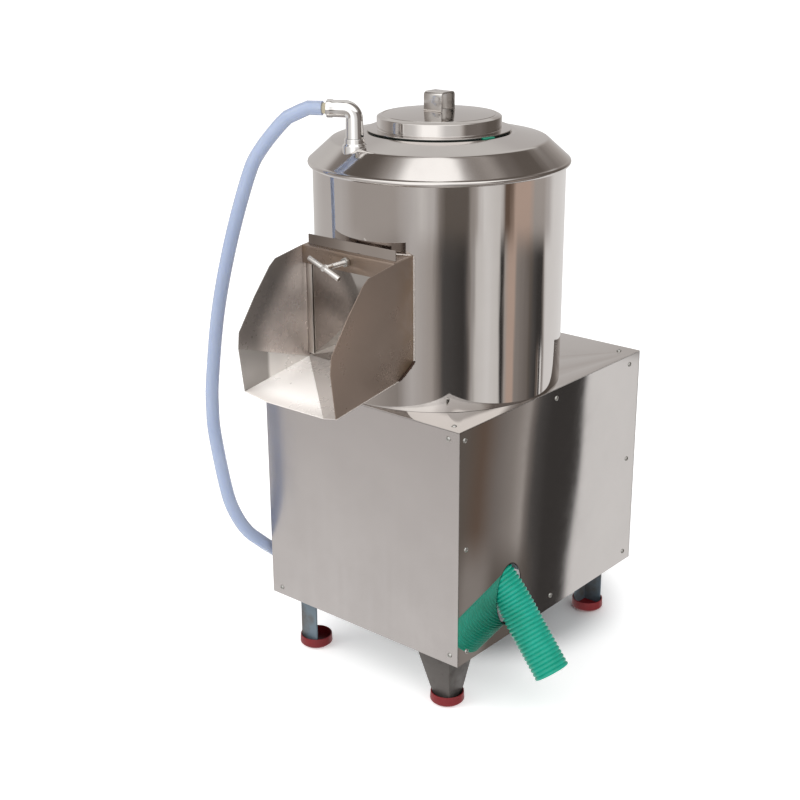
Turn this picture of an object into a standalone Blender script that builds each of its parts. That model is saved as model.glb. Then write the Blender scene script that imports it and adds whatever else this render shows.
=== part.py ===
# Electric potato peeler: a stainless steel drum on a sheet metal cabinet.
# A belt driven wave disc turns inside the drum, a chute with a lifting gate
# lets the potatoes out, water comes in at the top and leaves by a ribbed hose.
# Metres, +Z up, front at -Y. Everything is drawn round the cabinet's centre, then moved
# so that the origin is on the floor under the middle of the machine's outline.

import math

import bmesh
import bpy
from mathutils import Matrix, Vector

# Driving dimensions
cabinet_width = 0.400
cabinet_depth = 0.500
cabinet_bottom = 0.100
cabinet_height = 0.390
cabinet_top = cabinet_bottom + cabinet_height
drum_radius = 0.197
drum_height = 0.3427
drum_top = cabinet_top + drum_height
drum_setback = 0.200
drum_centre_y = drum_setback - cabinet_depth / 2
sheet = 0.0015
fit = 0.0003
overrun = 0.010
weld = 0.00001

# Angle iron of the frame and the legs
angle_wall = 0.003
rail_flange = 0.025
post_flange = 0.030
leg_flange = 0.035
leg_inset_x = 0.055
leg_inset_y = 0.045
leg_spread_x = cabinet_width / 2 - leg_inset_x
leg_spread_y = cabinet_depth / 2 - leg_inset_y

# Sill and head of the discharge opening, and the gate that closes it
opening_half_width = 0.085
opening_sill = 0.070
opening_height = 0.140
opening_bottom = cabinet_top + opening_sill
opening_top = opening_bottom + opening_height
gate_reach = 0.2065
gate_y = drum_centre_y - gate_reach
gate_half_width = 0.0865

# Chute: lip, heel and hood, by their reach from the drum's axis and their rise over the cabinet
chute_half_width = 0.093
lip_reach = 0.347
lip_rise = 0.0385
heel_reach = 0.2067
heel_rise = 0.059
root_reach = 0.1694
hood_reach = 0.216
hood_height = 0.2385
hood_slope_rise = 0.0042
chute_lip_y = drum_centre_y - lip_reach
chute_lip_z = cabinet_top + lip_rise
chute_heel_y = drum_centre_y - heel_reach
chute_heel_z = cabinet_top + heel_rise
chute_root_y = drum_centre_y - root_reach
hood_front_y = drum_centre_y - hood_reach
hood_front_z = cabinet_top + hood_height

# Drive: the two shafts and the plane of their pulleys
motor_setback = 0.100
motor_y = cabinet_depth / 2 - motor_setback
pulley_rise = 0.042
pulley_bottom = cabinet_bottom + pulley_rise
pulley_width = 0.022
shaft_radius = 0.0125
motor_shaft_radius = 0.0095
disc_pulley_radius = 0.100
motor_pulley_radius = 0.030
groove_depth = 0.010
groove_slope = math.tan(math.radians(19))
belt_half_width = 0.0050
belt_height = 0.006
belt_sink = 0.0015
belt_play = 0.0005

# Rim, knee, seat and mouth of the collar
rim_overhang = 0.0075
rim_lift = 0.0048
rim_half = 0.0045
knee_inset = 0.0365
knee_rise = 0.0345
mouth_radius = 0.0985
seat_width = 0.020
seat_rise = 0.0112
rim_radius = drum_radius + rim_overhang
rim_height = drum_top + rim_lift
knee_radius = rim_radius - knee_inset
knee_height = rim_height + knee_rise
seat_radius = mouth_radius + seat_width
seat_height = knee_height + seat_rise

# Water inlet on the collar
inlet_x = -0.037
inlet_reach = 0.154
inlet_y = drum_centre_y - inlet_reach
elbow_rise = 0.057
elbow_axis_z = knee_height + elbow_rise
elbow_radius = 0.0135
elbow_reach = 0.041
hose_radius = 0.01075
nipple_length = 0.0068
inlet_turn = math.radians(207.3)

# Drain: the spout under the drum and the ribbed hose on it
drain_inset = 0.085
drain_reach = 0.100
drain_x = cabinet_width / 2 - drain_inset
drain_y = drum_centre_y - drain_reach
drain_hose_radius = 0.0296
drain_hose_bore = 0.0247
spout_radius = 0.0235

# Facets of the large turned pieces, which nest in one another
round_segments = 48

parts = bpy.data.collections.new("electric_potato_peeler")
cutters = bpy.data.collections.new("cutters")


# Helpers


def clear_scene():
    for obj in list(bpy.data.objects):
        bpy.data.objects.remove(obj)
    bpy.context.scene.collection.children.link(parts)
    bpy.context.scene.collection.children.link(cutters)


def finish(name, colour, roughness, metallic):
    found = bpy.data.materials.get(name)
    if found:
        return found
    made = bpy.data.materials.new(name)
    made.use_nodes = True
    shader = made.node_tree.nodes["Principled BSDF"]
    shader.inputs["Base Color"].default_value = (*colour, 1)
    shader.inputs["Roughness"].default_value = roughness
    shader.inputs["Metallic"].default_value = metallic
    return made


def brushed_steel():
    return finish("brushed_steel", (0.62, 0.59, 0.57), 0.34, 1)


def polished_steel():
    return finish("polished_steel", (0.66, 0.64, 0.61), 0.12, 1)


def painted_iron():
    return finish("painted_iron", (0.30, 0.36, 0.41), 0.45, 0)


def zinc_steel():
    return finish("zinc_steel", (0.50, 0.50, 0.48), 0.38, 1)


def add_object(name, data, home=parts):
    obj = bpy.data.objects.new(name, data)
    home.objects.link(obj)
    if home == cutters:
        obj.hide_render = True
        obj.display_type = "WIRE"
    return obj


def from_bmesh(name, shape, home=parts):
    mesh = bpy.data.meshes.new(name)
    shape.to_mesh(mesh)
    shape.free()
    return add_object(name, mesh, home)


def box(name, low, high, home=parts):
    sides = [b - a for a, b in zip(low, high)]
    shape = bmesh.new()
    bmesh.ops.create_cube(shape, size=1, matrix=Matrix.Diagonal((*sides, 1)))
    obj = from_bmesh(name, shape, home)
    obj.location = [(a + b) / 2 for a, b in zip(low, high)]
    return obj


def rod(name, start, end, radius, segments=24, home=parts):
    start, end = Vector(start), Vector(end)
    shape = bmesh.new()
    bmesh.ops.create_cone(
        shape, cap_ends=True, segments=segments, radius1=radius, radius2=radius,
        depth=(end - start).length,
    )
    obj = from_bmesh(name, shape, home)
    obj.rotation_mode = "QUATERNION"
    obj.rotation_quaternion = (end - start).to_track_quat("Z", "Y")
    obj.location = (start + end) / 2
    return obj


def turned(name, profile, centre=(0, drum_centre_y), segments=round_segments, loop=True, home=parts):
    """A profile of (radius, height) points, outer side first and top to bottom, turned about Z."""
    mesh = bpy.data.meshes.new(name)
    count = len(profile)
    edges = [(i, i + 1) for i in range(count - 1)] + ([(count - 1, 0)] if loop else [])
    mesh.from_pydata([(r, 0, z) for r, z in profile], edges, [])
    obj = add_object(name, mesh, home)
    obj.location = (*centre, 0)
    screw = obj.modifiers.new("turn", "SCREW")
    screw.steps = screw.render_steps = segments
    screw.use_merge_vertices = True
    screw.merge_threshold = weld
    return obj


def curve_object(name, points, home=parts, closed=False, dimensions="3D"):
    curve = bpy.data.curves.new(name, "CURVE")
    curve.dimensions = dimensions
    spline = curve.splines.new("POLY")
    spline.points.add(len(points) - 1)
    for spot, point in zip(spline.points, points):
        spot.co = (*point, 0, 1) if len(point) == 2 else (*point, 1)
    spline.use_cyclic_u = closed
    return add_object(name, curve, home)


def as_mesh(obj):
    """The curve made a mesh with its caps welded on."""
    bpy.context.view_layer.update()
    ready = obj.evaluated_get(bpy.context.evaluated_depsgraph_get())
    mesh = bpy.data.meshes.new_from_object(ready)
    shape = bmesh.new()
    shape.from_mesh(mesh)
    bmesh.ops.remove_doubles(shape, verts=shape.verts, dist=weld)
    bmesh.ops.recalc_face_normals(shape, faces=shape.faces)
    shape.to_mesh(mesh)
    shape.free()
    name = obj.name
    home = cutters if obj.name in cutters.objects else parts
    place = obj.matrix_world.copy()
    bpy.data.objects.remove(obj)
    made = add_object(name, mesh, home)
    made.matrix_world = place
    return made


def plate(name, outline, thickness, place, home=parts):
    """A flat outline, drawn in its own X and Y, given a thickness about its plane."""
    obj = curve_object(name, outline, home, closed=True, dimensions="2D")
    obj.data.fill_mode = "BOTH"
    obj.data.extrude = thickness / 2
    obj.matrix_world = place
    return as_mesh(obj)


def facing_x(x, y=0, z=0):
    """Places an outline drawn as (y, z) in the plane across X."""
    axes = Matrix(((0, 0, 1), (1, 0, 0), (0, 1, 0))).to_4x4()
    return Matrix.Translation((x, y, z)) @ axes


def facing_y(y, x=0, z=0):
    """Places an outline drawn as (x, z) in the plane across Y."""
    axes = Matrix(((1, 0, 0), (0, 0, -1), (0, 1, 0))).to_4x4()
    return Matrix.Translation((x, y, z)) @ axes


def tube(name, points, radius, resolution=2, home=parts, radii=None):
    obj = curve_object(name, points, home)
    obj.data.bevel_depth = radius
    obj.data.bevel_resolution = resolution
    obj.data.use_fill_caps = True
    obj.data.twist_mode = "MINIMUM"
    if radii:
        for spot, share in zip(obj.data.splines[0].points, radii):
            spot.radius = share
    return obj


def sheet_strip(name, path, low, high, axis, thickness=sheet, home=parts, offset=0):
    """A bent strip: the path's points, in the plane across the axis, run along it from low to high."""
    mesh = bpy.data.meshes.new(name)
    rows = []
    for end in (low, high):
        for u, v in path:
            rows.append((end, u, v) if axis == "x" else (u, end, v))
    count = len(path)
    faces = [(i, i + 1, count + i + 1, count + i) for i in range(count - 1)]
    mesh.from_pydata(rows, [], faces)
    obj = add_object(name, mesh, home)
    wall = obj.modifiers.new("wall", "SOLIDIFY")
    wall.thickness = thickness
    wall.offset = offset
    wall.use_even_offset = True
    return obj


def boolean(target, other, operation):
    step = target.modifiers.new(other.name, "BOOLEAN")
    step.operation = operation
    step.object = other
    step.solver = "EXACT"


def cut(target, *others):
    for other in others:
        boolean(target, other, "DIFFERENCE")


def unite(target, *others):
    for other in others:
        boolean(target, other, "UNION")


def settle(obj, material, round_off=True):
    """Applies the modifiers, faces the mesh outwards and gives it its material."""
    bpy.context.view_layer.update()
    ready = obj.evaluated_get(bpy.context.evaluated_depsgraph_get())
    mesh = bpy.data.meshes.new_from_object(ready)
    shape = bmesh.new()
    shape.from_mesh(mesh)
    bmesh.ops.recalc_face_normals(shape, faces=shape.faces)
    shape.to_mesh(mesh)
    shape.free()
    obj.modifiers.clear()
    obj.data = mesh
    if round_off:
        mesh.shade_smooth()
        mesh.set_sharp_from_angle(angle=math.radians(32))
    mesh.materials.clear()
    mesh.materials.append(material)
    return obj


def smooth_route(points, spacing):
    """Points read at an even spacing from a smooth curve through the route's own points."""
    knots = [Vector(p) for p in points]
    knots = [2 * knots[0] - knots[1]] + knots + [2 * knots[-1] - knots[-2]]
    fine = []
    for a, b, c, d in zip(knots, knots[1:], knots[2:], knots[3:]):
        for i in range(24):
            t = i / 24
            fine.append(
                (2 * b + (c - a) * t + (2 * a - 5 * b + 4 * c - d) * t**2
                 + (3 * b - a - 3 * c + d) * t**3) / 2
            )
    fine.append(knots[-2])
    run = [0]
    for p, q in zip(fine, fine[1:]):
        run.append(run[-1] + (q - p).length)
    steps = max(2, round(run[-1] / spacing))
    found, at = [fine[0]], 0
    for i in range(1, steps):
        want = run[-1] * i / steps
        while run[at + 1] < want:
            at += 1
        share = (want - run[at]) / (run[at + 1] - run[at])
        found.append(fine[at].lerp(fine[at + 1], share))
    return found + [fine[-1]]


# Frame: two rings of angle iron, four corner posts and the motor's crossbars

half_width = cabinet_width / 2
half_depth = cabinet_depth / 2
ring_x = half_width - sheet - fit
ring_y = half_depth - sheet - fit
ring_bottom = cabinet_bottom + sheet + fit
ring_top = cabinet_top - sheet - fit
post_x = ring_x - angle_wall - fit
post_y = ring_y - angle_wall - fit


def angle_ring(name, low, high, flange_low, flange_high):
    """A ring of angle iron: walls from low to high, with its flat flange between the other two heights."""
    ring = box(name, (-ring_x, -ring_y, low), (ring_x, ring_y, high))
    inner_x, inner_y = ring_x - rail_flange, ring_y - rail_flange
    through = box(
        name + "_through", (-inner_x, -inner_y, low - overrun), (inner_x, inner_y, high + overrun),
        cutters,
    )
    wall_x, wall_y = ring_x - angle_wall, ring_y - angle_wall
    hollow_low = flange_high if flange_low == low else low - overrun
    hollow_high = flange_low if flange_high == high else high + overrun
    hollow = box(name + "_hollow", (-wall_x, -wall_y, hollow_low), (wall_x, wall_y, hollow_high), cutters)
    cut(ring, through, hollow)
    return settle(ring, painted_iron(), round_off=False)


def angle_outline(flange, toward_x, toward_y, wall=angle_wall):
    """An L with its heel at the origin and its flanges running the given ways."""
    points = [(0, 0), (flange, 0), (flange, wall), (wall, wall), (wall, flange), (0, flange)]
    return [(x * toward_x, y * toward_y) for x, y in points]


def upright(name, heel_x, heel_y, flange, bottom, top, way_x, way_y):
    place = Matrix.Translation((heel_x, heel_y, (bottom + top) / 2))
    return plate(name, angle_outline(flange, way_x, way_y), top - bottom, place)


def frame():
    angle_ring(
        "frame_bottom_ring", ring_bottom, ring_bottom + rail_flange,
        ring_bottom, ring_bottom + angle_wall,
    )
    angle_ring("frame_top_ring", ring_top - rail_flange, ring_top, ring_top - angle_wall, ring_top)
    for side, way_x in (("left", -1), ("right", 1)):
        for end, way_y in (("front", -1), ("rear", 1)):
            post = upright(
                f"corner_post_{end}_{side}", post_x * way_x, post_y * way_y, post_flange,
                ring_bottom + angle_wall + fit, ring_top - angle_wall - fit, -way_x, -way_y,
            )
            settle(post, painted_iron(), round_off=False)


crossbar_height = 0.030
crossbar_flange = 0.030
crossbar_front_reach = 0.078
crossbar_rear_reach = 0.048
crossbar_front_y = motor_y - crossbar_front_reach
crossbar_rear_y = motor_y + crossbar_rear_reach
crossbar_bottom = ring_bottom + angle_wall + fit
crossbar_top = crossbar_bottom + crossbar_height


def crossbars():
    """Two bars of angle iron across the bottom ring, which the motor's cradle stands on."""
    half_length = post_x - angle_wall - fit
    for name, start in (("front", crossbar_front_y), ("rear", crossbar_rear_y)):
        outline = [
            (start, crossbar_bottom), (start + angle_wall, crossbar_bottom),
            (start + angle_wall, crossbar_top - angle_wall),
            (start + crossbar_flange, crossbar_top - angle_wall),
            (start + crossbar_flange, crossbar_top), (start, crossbar_top),
        ]
        bar = plate(f"motor_crossbar_{name}", outline, 2 * half_length, facing_x(0))
        settle(bar, painted_iron(), round_off=False)


# Legs and their rubber shoes

shoe_radius = 0.027
shoe_bore = 0.02525
shoe_height = 0.0185
shoe_floor = 0.0045
shoe_flare = 0.0008
shoe_chamfer = 0.0045
leg_bottom = shoe_floor + fit
leg_top = ring_bottom - fit
brace_flange = 0.074


def straight_leg(name, side, end, heel_side, heel_end):
    """A leg of angle iron round the foot's centre, with its heel on the named side and end."""
    heel_x = side * leg_spread_x + heel_side * leg_flange / 2
    heel_y = end * leg_spread_y + heel_end * leg_flange / 2
    leg = upright(name, heel_x, heel_y, leg_flange, leg_bottom, leg_top, -heel_side, -heel_end)
    settle(leg, painted_iron(), round_off=False)


def braced_leg(name):
    """The front right leg: its two flanges widen towards the cabinet."""
    heel_x = leg_spread_x + leg_flange / 2
    heel_y = -leg_spread_y - leg_flange / 2
    shape = [
        (0, leg_bottom), (leg_flange, leg_bottom), (leg_flange, shoe_height),
        (brace_flange, leg_top), (0, leg_top),
    ]
    front = plate(
        name, [(-across, z) for across, z in shape], angle_wall,
        facing_y(heel_y + angle_wall / 2, heel_x),
    )
    side = plate(
        name + "_side", shape, angle_wall, facing_x(heel_x - angle_wall / 2, heel_y), cutters
    )
    unite(front, side)
    settle(front, painted_iron(), round_off=False)


def shoes():
    rubber = finish("red_rubber", (0.42, 0.05, 0.07), 0.5, 0)
    profile = [
        (0, shoe_floor), (shoe_bore, shoe_floor), (shoe_bore, shoe_height),
        (shoe_radius, shoe_height), (shoe_radius + shoe_flare, shoe_chamfer),
        (shoe_radius - shoe_chamfer, 0), (0, 0),
    ]
    for side, way_x in (("left", -1), ("right", 1)):
        for end, way_y in (("front", -1), ("rear", 1)):
            shoe = turned(
                f"shoe_{end}_{side}", profile, (way_x * leg_spread_x, way_y * leg_spread_y),
                20, loop=False,
            )
            settle(shoe, rubber)


def legs():
    straight_leg("leg_front_left", -1, -1, -1, -1)
    straight_leg("leg_rear_left", -1, 1, -1, 1)
    straight_leg("leg_rear_right", 1, 1, -1, 1)
    braced_leg("leg_front_right")
    shoes()


# Cabinet panels

return_width = 0.012
panel_top = cabinet_top - sheet - fit
vent_width = 0.060
vent_height = 0.005
vent_pitch = 0.016
vent_rows = 5
vent_rise = 0.230
vent_bottom = cabinet_bottom + vent_rise
vent_spread = 0.050
gland_inset = 0.080
gland_x = cabinet_width / 2 - gland_inset
gland_rise = 0.060
gland_z = cabinet_bottom + gland_rise
gland_radius = 0.010


def end_panel(name, way):
    """The front or rear sheet, with its bottom edge folded back under the ring."""
    outer, inner = way * half_depth, way * (half_depth - sheet)
    panel = box(
        name, (-half_width, min(outer, inner), cabinet_bottom),
        (half_width, max(outer, inner), panel_top),
    )
    back = way * (half_depth - return_width)
    fold_x = half_width - return_width - sheet
    fold = box(
        name + "_fold", (-fold_x, min(outer, back), cabinet_bottom),
        (fold_x, max(outer, back), cabinet_bottom + sheet), cutters,
    )
    unite(panel, fold)
    return panel


def side_panel(name, way):
    outer, inner = way * half_width, way * (half_width - sheet)
    end = half_depth - sheet - fit
    panel = box(
        name, (min(outer, inner), -end, cabinet_bottom), (max(outer, inner), end, panel_top)
    )
    back = way * (half_width - return_width)
    fold_y = half_depth - return_width - sheet - fit
    fold = box(
        name + "_fold", (min(outer, back), -fold_y, cabinet_bottom),
        (max(outer, back), fold_y, cabinet_bottom + sheet), cutters,
    )
    unite(panel, fold)
    return panel


def cabinet():
    settle(end_panel("front_panel", -1), brushed_steel(), round_off=False)
    rear = end_panel("rear_panel", 1)
    for column in (-1, 1):
        for row in range(vent_rows):
            low = vent_bottom + row * vent_pitch
            middle = column * vent_spread
            cut(rear, box(
                f"vent_{column}_{row}",
                (middle - vent_width / 2, half_depth - overrun, low),
                (middle + vent_width / 2, half_depth + overrun, low + vent_height), cutters,
            ))
    cut(rear, rod(
        "gland_hole", (gland_x, half_depth - overrun, gland_z),
        (gland_x, half_depth + overrun, gland_z), gland_radius + fit, home=cutters,
    ))
    settle(rear, brushed_steel(), round_off=False)
    settle(side_panel("left_panel", -1), brushed_steel(), round_off=False)
    right = side_panel("right_panel", 1)
    near, far = Vector(drain_route[-3]), Vector(drain_route[-2])
    way = (far - near).normalized()
    reach = cabinet_width / 4
    cut(right, rod(
        "drain_hole", near - way * reach, near + way * reach,
        drain_hose_radius + drain_hole_play, 32, cutters,
    ))
    settle(right, polished_steel(), round_off=False)
    top = box(
        "top_plate", (-half_width, -half_depth, cabinet_top - sheet),
        (half_width, half_depth, cabinet_top),
    )
    cut(
        top,
        hole_down("top_plate_neck_hole", 0, drum_centre_y, neck_radius + neck_play),
        hole_down("top_plate_drain_hole", drain_x, drain_y, spout_radius + fit),
    )
    settle(top, polished_steel(), round_off=False)


def hole_down(name, x, y, radius):
    """A round cutter through the cabinet's top and the drum's floor."""
    low, high = cabinet_top - 2 * overrun, cabinet_top + 2 * overrun
    return rod(name, (x, y, low), (x, y, high), radius, 32, cutters)


def cable_gland():
    """The gland in the rear panel that the mains lead goes through."""
    nut_radius = 0.0135
    nut_length = 0.006
    dome_length = 0.014
    dome_radius = 0.0105
    bore = 0.004
    inside = 0.010
    outer = half_depth + fit
    nut = rod(
        "cable_gland", (gland_x, outer, gland_z), (gland_x, outer + nut_length, gland_z),
        nut_radius, 6,
    )
    dome = rod(
        "gland_dome", (gland_x, outer + nut_length / 2, gland_z),
        (gland_x, outer + nut_length + dome_length, gland_z), dome_radius, 14, cutters,
    )
    thread = rod(
        "gland_thread", (gland_x, half_depth - inside, gland_z),
        (gland_x, outer + nut_length / 2, gland_z), gland_radius, 14, cutters,
    )
    hole = rod(
        "gland_bore", (gland_x, half_depth - 2 * inside, gland_z),
        (gland_x, outer + 2 * (nut_length + dome_length), gland_z), bore, 10, cutters,
    )
    unite(nut, dome, thread)
    cut(nut, hole)
    settle(nut, finish("black_plastic", (0.02, 0.02, 0.02), 0.4, 0))


# Bearings and the bridge that carries them

bridge_half = 0.050
bridge_depth = 0.030
bridge_top = ring_top - angle_wall - fit
neck_radius = 0.026
neck_play = 0.0015
neck_rise = 0.010
neck_top = cabinet_top + neck_rise
housing_flange = 0.045
housing_flange_depth = 0.008
housing_radius = 0.036
housing_depth = 0.190
housing_bottom = cabinet_top - housing_depth
bearing_radius = 0.0235
bearing_width = 0.012
bearing_shoulder = 0.0195
seal_width = 0.010
upper_bearing_depth = 0.033
upper_bearing_bottom = cabinet_top - upper_bearing_depth


def bearing_bridge():
    """A channel across the cabinet under the top ring, bored for the bearing housing."""
    half_length = ring_x - angle_wall - fit
    mid = angle_wall / 2
    path = [
        (drum_centre_y - bridge_half + mid, bridge_top - bridge_depth),
        (drum_centre_y - bridge_half + mid, bridge_top - mid),
        (drum_centre_y + bridge_half - mid, bridge_top - mid),
        (drum_centre_y + bridge_half - mid, bridge_top - bridge_depth),
    ]
    bridge = sheet_strip("bearing_bridge", path, -half_length, half_length, "x", angle_wall)
    cut(bridge, hole_down("bridge_hole", 0, drum_centre_y, neck_radius + neck_play))
    settle(bridge, painted_iron(), round_off=False)


def bearings():
    flange_top = bridge_top - angle_wall - fit
    flange_bottom = flange_top - housing_flange_depth
    pocket = bearing_radius + fit
    lower_pocket_top = housing_bottom + bearing_width + 2 * fit
    housing = turned("bearing_housing", [
        (neck_radius, neck_top), (neck_radius, flange_top), (housing_flange, flange_top),
        (housing_flange, flange_bottom), (housing_radius, flange_bottom),
        (housing_radius, housing_bottom), (pocket, housing_bottom), (pocket, lower_pocket_top),
        (bearing_shoulder, lower_pocket_top),
        (bearing_shoulder, upper_bearing_bottom - fit),
        (pocket, upper_bearing_bottom - fit), (pocket, neck_top),
    ], segments=24)
    settle(housing, finish("cast_iron", (0.16, 0.17, 0.18), 0.6, 0.6))
    groove = 0.0008
    race = 0.003
    inner = shaft_radius + fit
    for name, low in (("lower_bearing", housing_bottom), ("upper_bearing", upper_bearing_bottom)):
        high = low + bearing_width
        ring = turned(name, [
            (bearing_radius, high), (bearing_radius, low), (bearing_radius - race, low),
            (bearing_radius - race, low + groove), (inner, low + groove),
            (inner, high - groove), (bearing_radius - race, high - groove),
            (bearing_radius - race, high),
        ], segments=20)
        settle(ring, zinc_steel())
    seal_top = neck_top - fit
    seal = turned("shaft_seal", [
        (bearing_radius, seal_top), (bearing_radius, seal_top - seal_width),
        (inner, seal_top - seal_width), (inner, seal_top),
    ], segments=20)
    settle(seal, finish("black_rubber", (0.02, 0.02, 0.022), 0.55, 0))


# Main shaft, pulleys and belt

disc_rise = 0.036
disc_bottom = cabinet_top + disc_rise
shaft_end = 0.005
shaft_bottom = pulley_bottom - shaft_end
shaft_entry_height = 0.020
shaft_top = disc_bottom + shaft_entry_height
stud_radius = 0.008
stud_height = 0.016
stud_top = shaft_top + stud_height
shoulder_radius = 0.0155


def main_shaft():
    step_low = housing_bottom + bearing_width + 3 * fit
    step_high = upper_bearing_bottom - fit
    shaft = turned("main_shaft", [
        (0, stud_top), (stud_radius, stud_top), (stud_radius, shaft_top),
        (shaft_radius, shaft_top), (shaft_radius, step_high), (shoulder_radius, step_high),
        (shoulder_radius, step_low), (shaft_radius, step_low), (shaft_radius, shaft_bottom),
        (0, shaft_bottom),
    ], segments=24, loop=False)
    settle(shaft, zinc_steel())


def pulley(name, radius, bore, centre, hub_radius, hub_top, segments, web=None):
    """A V pulley: rim with its groove, web, and a hub that reaches up the shaft."""
    top = pulley_bottom + pulley_width
    middle = pulley_bottom + pulley_width / 2
    half_open = belt_half_width + belt_sink * groove_slope + belt_play
    half_root = half_open - groove_depth * groove_slope
    rim = [
        (radius, top), (radius, middle + half_open), (radius - groove_depth, middle + half_root),
        (radius - groove_depth, middle - half_root), (radius, middle - half_open),
        (radius, pulley_bottom),
    ]
    if web:
        rim_inner, web_half = web
        inside = [
            (rim_inner, pulley_bottom), (rim_inner, middle - web_half),
            (hub_radius, middle - web_half), (hub_radius, pulley_bottom), (bore, pulley_bottom),
            (bore, hub_top), (hub_radius, hub_top), (hub_radius, middle + web_half),
            (rim_inner, middle + web_half), (rim_inner, top),
        ]
    else:
        inside = [(bore, pulley_bottom), (bore, hub_top), (hub_radius, hub_top), (hub_radius, top)]
    return turned(name, rim + inside, centre, segments)


def pulleys():
    iron = finish("cast_iron", (0.16, 0.17, 0.18), 0.6, 0.6)
    hub_radius = 0.024
    hub_height = 0.044
    hub_top = pulley_bottom + hub_height
    web_half = 0.004
    rim_wall = 0.008
    hole_circle = 0.056
    hole_radius = 0.017
    rim_inner = disc_pulley_radius - groove_depth - rim_wall
    big = pulley(
        "disc_pulley", disc_pulley_radius, shaft_radius + fit, (0, drum_centre_y),
        hub_radius, hub_top, 32, (rim_inner, web_half),
    )
    for i in range(5):
        turn = math.tau * i / 5
        x, y = hole_circle * math.cos(turn), drum_centre_y + hole_circle * math.sin(turn)
        cut(big, rod(
            f"pulley_hole_{i}", (x, y, pulley_bottom - overrun),
            (x, y, pulley_bottom + pulley_width + overrun), hole_radius, 12, cutters,
        ))
    settle(big, iron)
    small_hub = 0.017
    small_hub_height = 0.034
    small_hub_top = pulley_bottom + small_hub_height
    small = pulley(
        "motor_pulley", motor_pulley_radius, motor_shaft_radius + fit, (0, motor_y),
        small_hub, small_hub_top, 24,
    )
    settle(small, iron)


def drive_belt():
    """The V belt: a trapezoid carried round the two pulleys and along their tangents."""
    depth = belt_sink + belt_height / 2
    big, small = disc_pulley_radius - depth, motor_pulley_radius - depth
    apart = motor_y - drum_centre_y
    lean = math.asin((big - small) / apart)
    level = pulley_bottom + pulley_width / 2
    arcs = (
        (28, big, drum_centre_y, math.pi - lean, math.tau + lean),
        (12, small, motor_y, lean, math.pi - lean),
    )
    points = []
    for count, radius, centre_y, start, end in arcs:
        for i in range(count + 1):
            turn = start + (end - start) * i / count
            points.append((radius * math.cos(turn), centre_y + radius * math.sin(turn), level))
    belt = curve_object("drive_belt", points, closed=True)
    root_half = belt_half_width - belt_height * groove_slope
    half = belt_height / 2
    section = curve_object("belt_section", [
        (-half, -root_half), (half, -belt_half_width), (half, belt_half_width), (-half, root_half),
    ], cutters, closed=True, dimensions="2D")
    belt.data.bevel_mode = "OBJECT"
    belt.data.bevel_object = section
    belt.data.twist_mode = "Z_UP"
    settle(as_mesh(belt), finish("black_rubber", (0.02, 0.02, 0.022), 0.55, 0))


# Motor on its cradle

cradle_half = 0.110
cradle_foot = 0.028
cradle_wall = 0.003
cradle_rise = 0.0982
cradle_front_reach = 0.080
cradle_rear_reach = 0.082
cradle_top = cabinet_bottom + cradle_rise
cradle_front = motor_y - cradle_front_reach
cradle_rear = motor_y + cradle_rear_reach
motor_radius = 0.066
fin_height = 0.008
fin_count = 16
motor_flange_radius = 0.080
motor_flange_depth = 0.0075
motor_bottom = cradle_top + fit
motor_height = 0.2515
motor_top = motor_bottom + motor_height
shaft_entry = 0.055
terminal_half = 0.030
terminal_depth = 0.030
terminal_rise = 0.0815
terminal_bottom = motor_bottom + terminal_rise
terminal_height = 0.070


def motor_mount():
    """A folded cradle that stands on the crossbars and holds the motor's flange."""
    mid = cradle_wall / 2
    foot = crossbar_top + fit + mid
    path = [
        (-cradle_half - cradle_foot, foot), (-cradle_half, foot),
        (-cradle_half, cradle_top - mid), (cradle_half, cradle_top - mid),
        (cradle_half, foot), (cradle_half + cradle_foot, foot),
    ]
    mount = sheet_strip("motor_mount", path, cradle_front, cradle_rear, "y", cradle_wall)
    shaft_hole = motor_shaft_radius + 2 * cradle_wall
    cut(mount, rod(
        "mount_hole", (0, motor_y, cradle_top - overrun), (0, motor_y, cradle_top + overrun),
        shaft_hole, 24, cutters,
    ))
    settle(mount, painted_iron(), round_off=False)


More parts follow.
